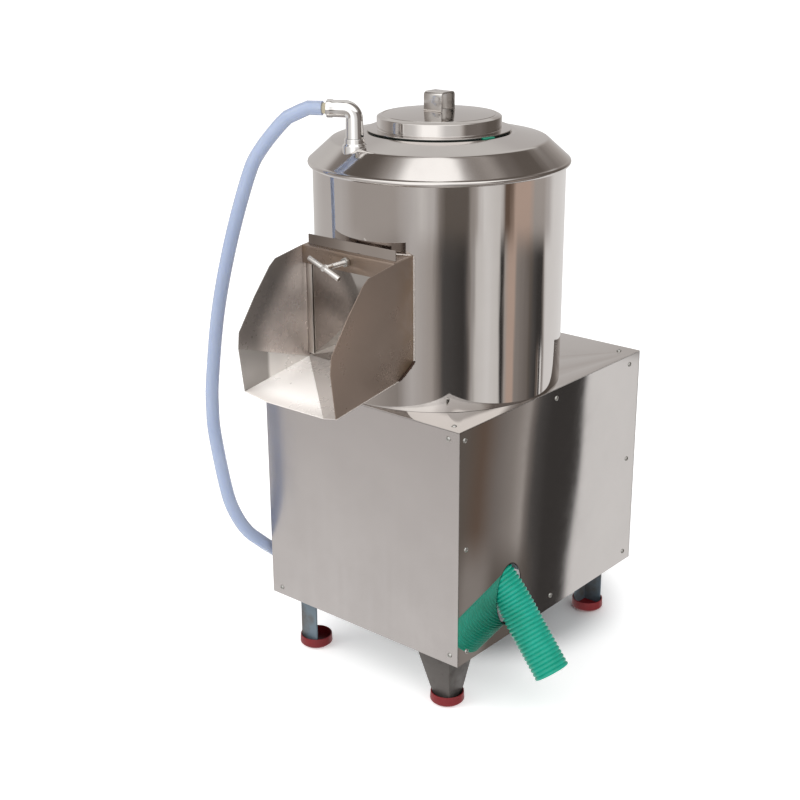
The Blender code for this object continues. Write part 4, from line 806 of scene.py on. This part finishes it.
# Lid: a pressed pan with a skirt inside the mouth
lid = {
    "wall": 0.0965, "flange": 0.112, "low": 0.8853, "top": 0.8868, "shoulder": 0.9062, "crown": 0.9145,
    "skirt": 0.872, "inset": 0.0065, "sheet": 0.0015,
    "groove": ((0.0862, 0.908, 0.001), (0.0874, 0.9066, 0.0008), (0.0886, 0.9078, 0.0008)),
}


def lidPan():
    put = lid
    wall, thin, shoulder = put["wall"], put["sheet"], put["shoulder"]
    return turnPiece("lid", drum["centre"], softProfile([
        (0, put["crown"]), *put["groove"], (wall - put["inset"] + 0.0005, shoulder + thin, 0.002),
        (wall, shoulder - thin, 0.002), (wall, put["top"], 0.0012), (put["flange"], put["top"], 0.0005),
        (put["flange"], put["low"], 0.0005), (wall, put["low"]), (wall, put["skirt"], 0.0004),
        (wall - thin, put["skirt"], 0.0004), (wall - thin, shoulder - 2 * thin, 0.001),
        (wall - put["inset"] - thin / 2, shoulder, 0.003), (0, put["crown"] - thin),
    ], 5), 192, closed=False)


finishPiece(lidPan(), "mirrorSteel", "polished_steel", "lid", body="lid")

# The gasket is a near-black green all round but for one green tab
gasket = {
    "outer": 0.1095, "inner": 0.1, "low": 0.8835, "high": 0.885, "round": 0.0004,
    "tabLow": (0.1035, -0.0105, 0.8834), "tabHigh": (0.116, 0.0105, 0.8853), "tabTurn": -11,
}
ring = ringPiece("lidGasket", gasket, 144, gasket["round"])
tab = addBlock("gasketTab", gasket["tabLow"], gasket["tabHigh"], gasket["round"])
tab.rotation_euler.z = math.radians(gasket["tabTurn"])
tab.location = (*drum["centre"], 0)
applyPlace(tab)
finishPiece(ring, "darkGreenRubber", "green_rubber", "lid_gasket", body="lid")
finishPiece(tab, "greenRubber", "green_rubber", "lid_gasket", body="lid")

# Handle: a bent strip with a weld bead on each side
handle = {"span": 0.0165, "width": 0.0175, "top": 0.942, "foot": 0.9137, "wall": 0.0025, "corner": 0.006}


def lidHandle():
    put = handle
    corner, wall = put["corner"], put["wall"]
    centre = (corner - put["span"], put["top"] - corner)
    outer = [(-put["span"], put["foot"]), *arcPoints(centre, corner, 180, -90, 8)]
    inner = [(wall - put["span"], put["foot"]), *arcPoints(centre, corner - wall, 180, -90, 8)]
    path = outer + [(-y, z) for y, z in outer[::-1]] + [(-y, z) for y, z in inner] + inner[::-1]
    points = [(-put["width"], drum["centre"][1] + y, z) for y, z in path]
    strip = drawFace("lidHandle", points, (2 * put["width"], 0, 0))
    roundEdges(strip, 0.0005, angle=50)
    return strip


def handleWeld(way):
    side = drum["centre"][1] + way * (handle["span"] + 0.0004)
    spots = [(-0.0165 + 0.0033 * i, side, 0.9136) for i in range(11)]
    return sweep("handleWeld", smoothRoute(spots, 0.0012), 0.0011, steps=4)


finishPiece(lidHandle(), "satinSteel", "polished_steel", "lid_handle", body="lid")
handleWelds = joinPieces("handleWelds", handleWeld(-1), handleWeld(1))
finishPiece(handleWelds, "weldSteel", "polished_steel", body="lid", angle=60)
print("lid made")

# Chute: two cheeks, a creased floor and the hood, trimmed to the drum
chute = {
    "half": 0.093, "sheet": 0.0015, "lip": (-0.397, 0.5285), "heel": (-0.2567, 0.549), "root": (-0.2194, 0.5725),
    "edge": ((-0.406, 0.5975), (-0.4035, 0.622), (-0.369, 0.67), (-0.336, 0.709), (-0.3235, 0.7185),
             (-0.267, 0.728)),
    "hoodRoot": (-0.2194, 0.7327), "creases": (-0.048, 0.069), "sag": 0.005, "dip": 0.0012,
}


def drumTrim():
    return standingRod("drumTrim", drum["centre"], 0.52, drum["high"], 0.1973, 192)


def chuteSheet(name, points, way):
    inner = way * (chute["half"] - chute["sheet"])
    sheet = drawFace(name, [(inner, y, z) for y, z in points], (way * chute["sheet"], 0, 0))
    cutAway(sheet, drumTrim())
    roundEdges(sheet, 0.0004)
    return sheet


# The floor is folded from the rear left corner to the lip, so its faces catch the light apart; its lit and shaded faces
# also get a lighter and a darker finish, painted light and painted shade
def floorFaces():
    put = chute
    inner, low, (left, right) = put["half"] - put["sheet"] / 2, put["lip"][1] - put["sag"], put["creases"]
    lipY, lipZ = put["lip"]
    heelLeft, heelRight = (-inner, *put["heel"]), (inner, *put["heel"])
    creaseLeft, creaseRight = (left, lipY, low - put["dip"]), (right, lipY, low)
    middle = (heelLeft, creaseRight, creaseLeft)
    outer = (heelLeft, creaseLeft, (-inner, lipY, lipZ))
    shelf = ((-inner, *put["root"]), (inner, *put["root"]), heelRight, heelLeft)
    ramp = (heelLeft, heelRight, creaseRight)
    return (middle, outer), (shelf, ramp, (heelRight, (inner, lipY, lipZ), creaseRight))


def foldedSheet(name, faces):
    plate = joinPieces(name, *[drawFace("floorFace", face) for face in faces], weld=True)
    applyModifier(plate, "SOLIDIFY", thickness=chute["sheet"], offset=0.0)
    cutAway(plate, drumTrim())
    roundEdges(plate, 0.0008, steps=3, angle=4)
    return plate


lip, heel, upper = chute["lip"], chute["heel"], [*chute["edge"], chute["hoodRoot"], chute["root"], chute["heel"]]
cheekLeft = chuteSheet("cheekLeft", upper, -1)
wing = chuteSheet("wing", [lip, chute["edge"][0], heel], -1)
cheekRight = chuteSheet("cheekRight", [lip, *upper], 1)
litFaces, shadedFaces = floorFaces()
floorLit, floorShaded = foldedSheet("floorLit", litFaces), foldedSheet("floorShaded", shadedFaces)
for piece, finish in (
    (cheekLeft, "cheekSteel"), (wing, "wingLitSteel"), (cheekRight, "chuteSteel"), (floorLit, "scuffedLitSteel"),
    (floorShaded, "shadedFoldSteel"),
):
    finishPiece(piece, finish, "brushed_steel", "chute_body")

# Hood with the gate's slot, the gate and its two guides
hood = {
    "front": -0.266, "mid": 0.00075, "drop": 0.0275, "rise": 0.0042, "top": 0.7285, "half": 0.0912,
    "slotHalf": 0.0872, "slotLow": 0.7185, "slotHigh": 0.7385,
}
clamp = {
    "spot": (0, 0.7165), "tip": -0.25755, "end": -0.32, "thread": -0.299, "radius": 0.004, "half": 0.032,
    "tilt": math.radians(21), "core": 0.0035, "pitch": 0.00125, "steps": 18, "bead": 0.0043, "hole": 0.0043,
}
gate = {"outer": 0.0865, "inner": -0.0865, "front": -0.25725, "back": -0.25575, "low": 0.5512, "high": 0.7445}
guide = {"outer": 0.0912, "inner": 0.0802, "front": -0.2588, "back": -0.2542, "low": 0.555, "high": 0.7255}
groove = {"outer": 0.08685, "inner": 0.07, "front": -0.2576, "back": -0.2554, "low": 0.54, "high": 0.74}


def hoodPiece():
    put = hood
    front, mid, top, rootY = put["front"], put["mid"], put["top"], chute["root"][0]
    line = softProfile([
        (front - mid, top - put["drop"]), (front - mid, top, 0.0028), (rootY, top + put["rise"]),
        (rootY, top + put["rise"] - 2 * mid), (front + mid, top - 2 * mid, 0.0014), (front + mid, top - put["drop"]),
    ], 6)
    plate = drawFace("hood", [(-put["half"], y, z) for y, z in line], (2 * put["half"], 0, 0))
    half = put["slotHalf"]
    cutAway(
        plate, drumTrim(),
        addBlock("gateSlot", (-half, groove["front"], put["slotLow"]), (half, groove["back"], put["slotHigh"])),
        lyingRod("clampHole", clamp["spot"], -0.275, -0.26, clamp["hole"], 40),
    )
    roundEdges(plate, 0.0004, angle=45)
    return plate


def sideBlock(name, put, way):
    low, high = sorted((way * put["outer"], way * put["inner"]))
    return addBlock(name, (low, put["front"], put["low"]), (high, put["back"], put["high"]))


finishPiece(hoodPiece(), "chuteSteel", "brushed_steel", "chute_hood")
gatePlate = sideBlock("gate", gate, 1)
roundEdges(gatePlate, 0.0004)
finishPiece(gatePlate, "gateSteel", "brushed_steel", "discharge_gate", body="gate")
for way, side in ((-1, "left"), (1, "right")):
    rail = sideBlock("guide" + side, guide, way)
    cutAway(rail, sideBlock("guideSlot", groove, way))
    roundEdges(rail, 0.0003)
    finishPiece(rail, "wornSteel", "brushed_steel", "gate_guide_" + side)


# Weld beads: lumpy runs of filler, with a few burnt lumps at the chute's lower rear corner
def weldBead(points, radius, seed):
    dice = random.Random(seed)
    line = smoothRoute(points, 0.0011)
    shares, level = [], 1.0
    for i in range(len(line)):
        level = 0.6 * level + 0.4 * dice.uniform(0.55, 1.35)
        shares.append(level * (0.92 + 0.16 * math.sin(i * 1.9)))
    shares[0] = shares[-1] = 0.4
    line = [spot + Vector([dice.uniform(-0.0002, 0.0002) for _ in range(3)]) for spot in line]
    return sweep("weldBead", line, radius, shares, steps=4)


def drumFace(x):
    return drum["centre"][1] - math.sqrt((drum["outer"] + 0.001)**2 - x**2)


acrossDrum = (-0.06, -0.03, 0, 0.03, 0.06)
beads = []
for way in (-1, 1):
    side = way * (chute["half"] + 0.0004)
    beads.append(weldBead([(side, drumFace(side), z) for z in (0.571, 0.61, 0.65, 0.69, 0.7315)], 0.0016, 11 + way))
    heelRun = [(way * 0.0932, -0.26 - 0.0274 * i, 0.5482 - 0.004 * i) for i in range(6)]
    beads.append(weldBead(heelRun, 0.0008, 21 + way))
beads.append(weldBead([(x, drumFace(x), 0.7325) for x in (-0.0895, *acrossDrum, 0.0895)], 0.0014, 31))
beads.append(weldBead([
    (x, drumFace(x), 0.549 + (drumFace(x) + 0.2567) * 0.63) for x in (-0.0915, *acrossDrum, 0.0915)
], 0.0016, 33))
finishPiece(joinPieces("chuteWelds", *beads), "weldSteel", "brushed_steel", angle=60)
burntWeld = weldBead([
    (0.0938, -0.2245, 0.57), (0.0943, -0.233, 0.564), (0.0941, -0.242, 0.558), (0.094, -0.252, 0.5525),
    (0.0938, -0.26, 0.549),
], 0.0019, 41)
finishPiece(burntWeld, "burntWeld", "brushed_steel", angle=60)
print("chute made")


# Clamp screw with its thread, and the nut on the hood
def clampPiece():
    put = clamp
    z, core, radius, steps = put["spot"][1], put["core"], put["radius"], put["steps"]
    screw = lyingRod("clampScrew", put["spot"], put["end"], -0.3, radius, 40, 0.0006)
    shank = lyingRod("core", put["spot"], -0.301, put["tip"], core, 40, 0.0005)
    spots = []
    for i in range(int((put["tip"] - put["thread"] - 0.001) / put["pitch"]) * steps):
        around = math.tau * i / steps
        spots.append(Vector((core * math.cos(around), put["thread"] + put["pitch"] * i / steps,
                             z + core * math.sin(around))))
    thread = sweep("thread", spots, 0.00045, steps=1)
    dx, dz, barY = put["half"] * math.cos(put["tilt"]), put["half"] * math.sin(put["tilt"]), put["end"] + radius
    bar = addRod("bar", (-dx, barY, z + dz), (dx, barY, z - dz), radius, 40, 0.0012)
    ring = arcPoints((0, z), put["bead"], 0, 345, 23)
    beadY = put["end"] + 2 * radius + 0.0002
    bead = sweep("bead", [(x, beadY, up) for x, up in ring], 0.0009, steps=3, loop=True)
    return joinPieces("clampScrew", screw, shank, thread, bar, bead)


finishPiece(clampPiece(), "brightSteel", "zinc_steel", "clamp_screw", body="gate_clamp", angle=40)
nut = lyingRod("clampNut", clamp["spot"], -0.27305, -0.26705, 0.0065 * 1.1547, 6)
cutAway(nut, lyingRod("nutBore", clamp["spot"], -0.29, -0.25, clamp["hole"], 40))
roundEdges(nut, 0.0005)
finishPiece(nut, "zincSteel", "zinc_steel", "clamp_nut")

# Water inlet: boss, elbow and the taped nipple
outward = Vector((math.cos(inlet["turn"]), math.sin(inlet["turn"]), 0))
inletBase = Vector((*inlet["spot"], 0))


def inletBoss():
    put = inlet
    boss = turnPiece("inletBoss", put["spot"], softProfile([
        (0, put["top"]), (put["neck"], put["top"], 0.001), (put["neck"], put["neckLow"], 0.002),
        (put["socket"], put["socketTop"], 0.0008), (put["socket"], put["low"]), (0, put["low"]),
    ]), 96, closed=False)
    slope = turnPiece("slope", drum["centre"], [
        (0, collar["seatTop"]), (collar["seat"], collar["seatTop"]), (collar["knee"], collar["kneeTop"]),
        (collar["rim"], 0.84), (collar["rim"], 0.8), (0, 0.8),
    ], 96, closed=False)
    cutAway(boss, slope, inletBore("bossBore", 48))
    return boss


finishPiece(inletBoss(), "chromeMetal", "polished_steel", "inlet_socket")


def elbowLine(startZ, reach):
    bend, axis = inlet["bend"], inlet["axis"]
    side = [(0, startZ), (0, startZ + 0.012), *arcPoints((bend, axis - bend), bend, 180, -90, 16)]
    side += [(reach - short, axis) for short in (0.009, 0.0075, 0.0005, 0)]
    return [inletBase + outward * across + Vector((0, 0, z)) for across, z in side]


elbowShares = [1.0, 0.98] + [0.95 - 0.02 * math.sin(math.pi * i / 16) for i in range(17)] + [0.93, 1.0, 1.0, 0.95]
elbow = sweep("inletElbow", elbowLine(0.8865, inlet["reach"]), inlet["radius"], elbowShares, steps=18)
cutAway(elbow, sweep("elbowBore", elbowLine(0.87, inlet["reach"] + 0.02), inlet["bore"]))
finishPiece(elbow, "chromeMetal", "chrome", "inlet_elbow", angle=35)
mouth = inletBase + outward * inlet["reach"] + Vector((0, 0, inlet["axis"]))


def outRod(name, start, end, radius, *how):
    return addRod(name, mouth + outward * start, mouth + outward * end, radius, *how)


nipple = joinPieces("hoseNipple", outRod("hoseNipple", -0.01, 0.0071, 0.0079, 48), *[
    outRod("tapeTurn", 0.0004 + 0.0021 * i, 0.0027 + 0.0021 * i, blueHose["radius"] - 0.0004 * (i % 2), 48, 0.0003)
    for i in range(3)
])
cutAway(nipple, outRod("nippleBore", -0.02, 0.02, 0.00595, 32))
finishPiece(nipple, "sealTape", "thread_tape", "hose_nipple")
print("inlet made")

# Hose tie on the coil and the cable gland in the rear sheet
tie = addBlock("hoseTie", (-0.104, 0.4985, 0.0003), (-0.096, 0.547, 0.0258), 0.0008)
cutAway(tie, addBlock("tieInside", (-0.12, 0.4999, 0.0017), (-0.08, 0.5456, 0.0244), 0.0006))
tie = joinPieces("hoseTie", tie, addBlock("tieHead", (-0.1055, 0.513, 0.025), (-0.0945, 0.5215, 0.0295), 0.0008))
finishPiece(tie, "blackNylon", "black_plastic", "hose_tie")
gland = joinPieces("cableGland", lyingRod("cableGland", glandSpot, 0.2503, 0.2563, 0.0135, 6, 0.0006),
                   lyingRod("dome", glandSpot, 0.255, 0.2703, 0.0105, edge=0.003),
                   lyingRod("glandThread", glandSpot, 0.24, 0.2535, 0.01))
cutAway(gland, lyingRod("glandBore", glandSpot, 0.23, 0.29, 0.004, 32))
finishPiece(gland, "blackNylon", "black_plastic", "cable_gland")

# What works inside keeps the model's own shapes
dressNode("castIron", "bearing_housing", "disc_pulley", "motor_pulley", edge=0.0004)
dressNode("zincSteel", "main_shaft", "motor_shaft", "upper_bearing", "lower_bearing")
dressNode("blackRubber", "drive_belt", "shaft_seal")
dressNode("motorPaint", "motor_body", "motor_terminal_box", edge=0.0005)
dressNode("abrasiveGrit", "abrasive_disc")
dressNode("wornSteel", "disc_nut", edge=0.0004)
print("inside dressed")

# Surroundings that the steel mirrors, as shades by azimuth in degrees
shades = {
    "glow": (1.45, 1.44, 1.42), "white": (0.84, 0.825, 0.815), "pale": (0.72, 0.7, 0.68), "soft": (0.58, 0.555, 0.54),
    "mid": (0.45, 0.415, 0.39), "dim": (0.31, 0.28, 0.26), "grey": (0.22, 0.195, 0.18), "dark": (0.145, 0.125, 0.11),
    "ink": (0.085, 0.08, 0.078), "black": (0.052, 0.048, 0.046), "tan": (0.56, 0.43, 0.36), "bark": (0.15, 0.105, 0.08),
}
bands = {
    "top": "-180 grey, -172 dark, -162 dark, -153 dim, -143 pale, -134 glow, 14 glow, 26 soft, 38 dim, 50 mid, "
           "58 grey, 70 dark, 80 dark, 86 dim, 96 pale, 120 pale, 165 pale, 174 dim, 180 grey",
    "high": "-180 soft, -160 mid, -150 dim, -141 mid, -132 pale, -118 pale, -98 white, -80 glow, -56 glow, "
            "-40 white, -14 pale, -7 mid, -2 grey, 28 grey, 48 dark, 62 dark, 76 dark, 88 grey, 104 mid, "
            "118 soft, 140 soft, 165 pale, 180 soft",
    "eaves": "-180 soft, -150 soft, -132 mid, -92 mid, -76 soft, -66 pale, -56 soft, -51 dim, -45 dark, "
             "-26 dark, -19 mid, -11 white, 5 pale, 10 bark, 16 bark, 21 tan, 38 tan, 44 mid, 58 mid, 66 soft, "
             "75 white, 100 white, 125 pale, 180 soft",
    "level": "-180 soft, -132 soft, -122 mid, -90 dim, -76 soft, -58 mid, -52 grey, -47 ink, -30 black, "
             "-26 ink, -23 grey, -18 pale, -6 white, 5 pale, 7 black, 9 black, 11 mid, 15 tan, 21 tan, 24 dim, "
             "35 grey, 41 dark, 46 ink, 51 black, 58 black, 61 dim, 64 white, 100 white, 125 pale, 180 soft",
    "low": "-180 pale, -142 white, -134 pale, -126 soft, -98 mid, -60 soft, -20 dim, 20 dim, 44 grey, 51 dark, "
           "60 white, 120 pale, 180 pale",
    "ground": "-180 white, -134 white, -126 pale, -90 mid, -60 soft, -20 dim, 20 dim, 44 grey, 51 dark, "
              "60 white, 180 white",
    "lowSide": "50 dark, 52.4 dark, 53.2 bark, 53.9 grey, 54.6 dim, 55.05 mid, 55.2 grey, 55.5 ink, 56.1 black, "
               "57.1 black, 57.4 ink, 57.6 white, 62 white",
    "groundSide": "50 dark, 52.3 dark, 52.9 dim, 53.6 dim, 54.1 dark, 55.4 dark, 55.9 ink, 56.3 black, "
                  "57.1 black, 57.3 ink, 57.5 white, 62 white",
}


# One ramp of shades by azimuth, over the whole turn or a part of it
def bandRamp(tree, around, name, start=-180, span=360):
    made = tree.nodes.new("ShaderNodeValToRGB")
    spots = made.color_ramp.elements
    listed = [pair.split() for pair in bands[name].split(", ")]
    spots[0].position, spots[1].position = 0.0, 1.0
    spots[0].color, spots[1].color = (*shades[listed[0][1]], 1), (*shades[listed[-1][1]], 1)
    for azimuth, shade in listed[1:-1]:
        spots.new((float(azimuth) - start) / span).color = (*shades[shade], 1)
    tree.links.new(around, made.inputs[0])
    return made.outputs[0]


world = bpy.data.worlds.new("surroundings")
bpy.context.scene.world = world
world.use_nodes = True
sky = world.node_tree
skyPlace = sky.nodes.new("ShaderNodeTexCoord").outputs["Generated"]
parted = sky.nodes.new("ShaderNodeSeparateXYZ")
sky.links.new(skyPlace, parted.inputs[0])
ripple = mathNode(sky, "MULTIPLY", mathNode(sky, "SUBTRACT", noiseNode(sky, skyPlace, 9.0, 3.0, 0.6), 0.5), 0.022)
around = mathNode(sky, "DIVIDE", mathNode(sky, "ARCTAN2", parted.outputs[1], parted.outputs[0]), math.tau)
around = mathNode(sky, "ADD", around, 0.5)
height = parted.outputs[2]
wavy = mathNode(sky, "ADD", around, ripple)
lean = mathNode(sky, "ADD", around, mathNode(sky, "MULTIPLY", mathNode(sky, "ADD", height, 0.39), -0.0113))

# What the right sheet mirrors fills a few degrees, so it has finer ramps there
fine = mathNode(sky, "MULTIPLY", mathNode(sky, "SUBTRACT", lean, 0.5 + 50 / 360), 360 / 12)
beside = mathNode(sky, "MULTIPLY", mathNode(sky, "GREATER_THAN", fine, 0.08), mathNode(sky, "LESS_THAN", fine, 0.86))


def lowBands(name):
    return mixNode(sky, beside, bandRamp(sky, around, name), bandRamp(sky, fine, name + "Side", 50, 12))


# Beside the machine the low shades reach higher than elsewhere
edge = mathNode(sky, "ADD", mathNode(sky, "MULTIPLY", beside, 0.064), -0.38)
mirrored = mixNode(sky, rangeNode(sky, height, -0.462, -0.425, soft=True), lowBands("ground"), lowBands("low"))
for name, start, end in (
    ("level", edge, mathNode(sky, "ADD", edge, 0.016)), ("eaves", -0.246, -0.224), ("high", -0.19, -0.165),
    ("top", 0.42, 0.54),
):
    mirrored = mixNode(sky, rangeNode(sky, height, start, end, soft=True), mirrored, bandRamp(sky, wavy, name))
path = sky.nodes.new("ShaderNodeLightPath")
seen = mixNode(sky, path.outputs["Is Glossy Ray"], (0.8, 0.8, 0.8), mirrored)
seen = mixNode(sky, path.outputs["Is Camera Ray"], seen, (1.0, 1.0, 1.0))
sky.links.new(seen, sky.nodes["Background"].inputs["Color"])
if hasattr(world, "cycles"):
    world.cycles.sampling_method = "NONE"

# Lamps: one large soft key from the front left, one fill from the right and a beam into the chute
warm = (1.0, 0.985, 0.97)
lamps = {
    "key": {"spot": (-1.9, -2.2, 2.9), "aim": (0, 0, 0.45), "power": 62.0, "size": 2.2, "colour": warm},
    "fill": {"spot": (2.4, -0.6, 1.9), "aim": (0, 0, 0.45), "power": 16.0, "size": 2.0, "colour": (0.97, 0.985, 1.0)},
    "beam": {"spot": (0.2, -1.3, 1.6), "aim": (-0.07, -0.27, 0.57), "power": 60.0, "cone": 12, "colour": warm},
}
for name, put in lamps.items():
    data = bpy.data.lights.new(name, "SPOT" if "cone" in put else "AREA")
    data.energy, data.color = put["power"], put["colour"]
    if "cone" in put:
        data.spot_size, data.spot_blend, data.shadow_soft_size = math.radians(put["cone"]), 0.7, 0.05
    else:
        data.shape, data.size = "SQUARE", put["size"]
    lamp = bpy.data.objects.new(name, data)
    lamp.location = put["spot"]
    lamp.rotation_euler = (Vector(put["aim"]) - Vector(put["spot"])).to_track_quat("-Z", "Y").to_euler()
    lamp.visible_glossy = False
    bpy.context.scene.collection.objects.link(lamp)

# Pale floor: it glows to white, but not under the machine, where the right sheet would mirror it
clearSelection()
bpy.ops.mesh.primitive_plane_add(size=40, location=(0, 0, 0))
floor = takePiece("floor")
floorFinish, floorShader = newFinish("paleFloor")
for key, value in (("Base Color", (0.9, 0.9, 0.9, 1)), ("Roughness", 0.9), ("Emission Color", (1, 1, 1, 1))):
    floorShader.inputs[key].default_value = value
floorTree = floorFinish.node_tree
away = distanceTo(floorTree, (-0.02, 0.13, 0.0))
glow = rangeNode(floorTree, away, 0.17, 0.27, 0.0, 0.42, soft=True)
floorTree.links.new(glow, floorShader.inputs["Emission Strength"])
floor.data.materials.append(floorFinish)
floor.visible_glossy = False

scene = bpy.context.scene
scene.view_settings.view_transform = "Standard"
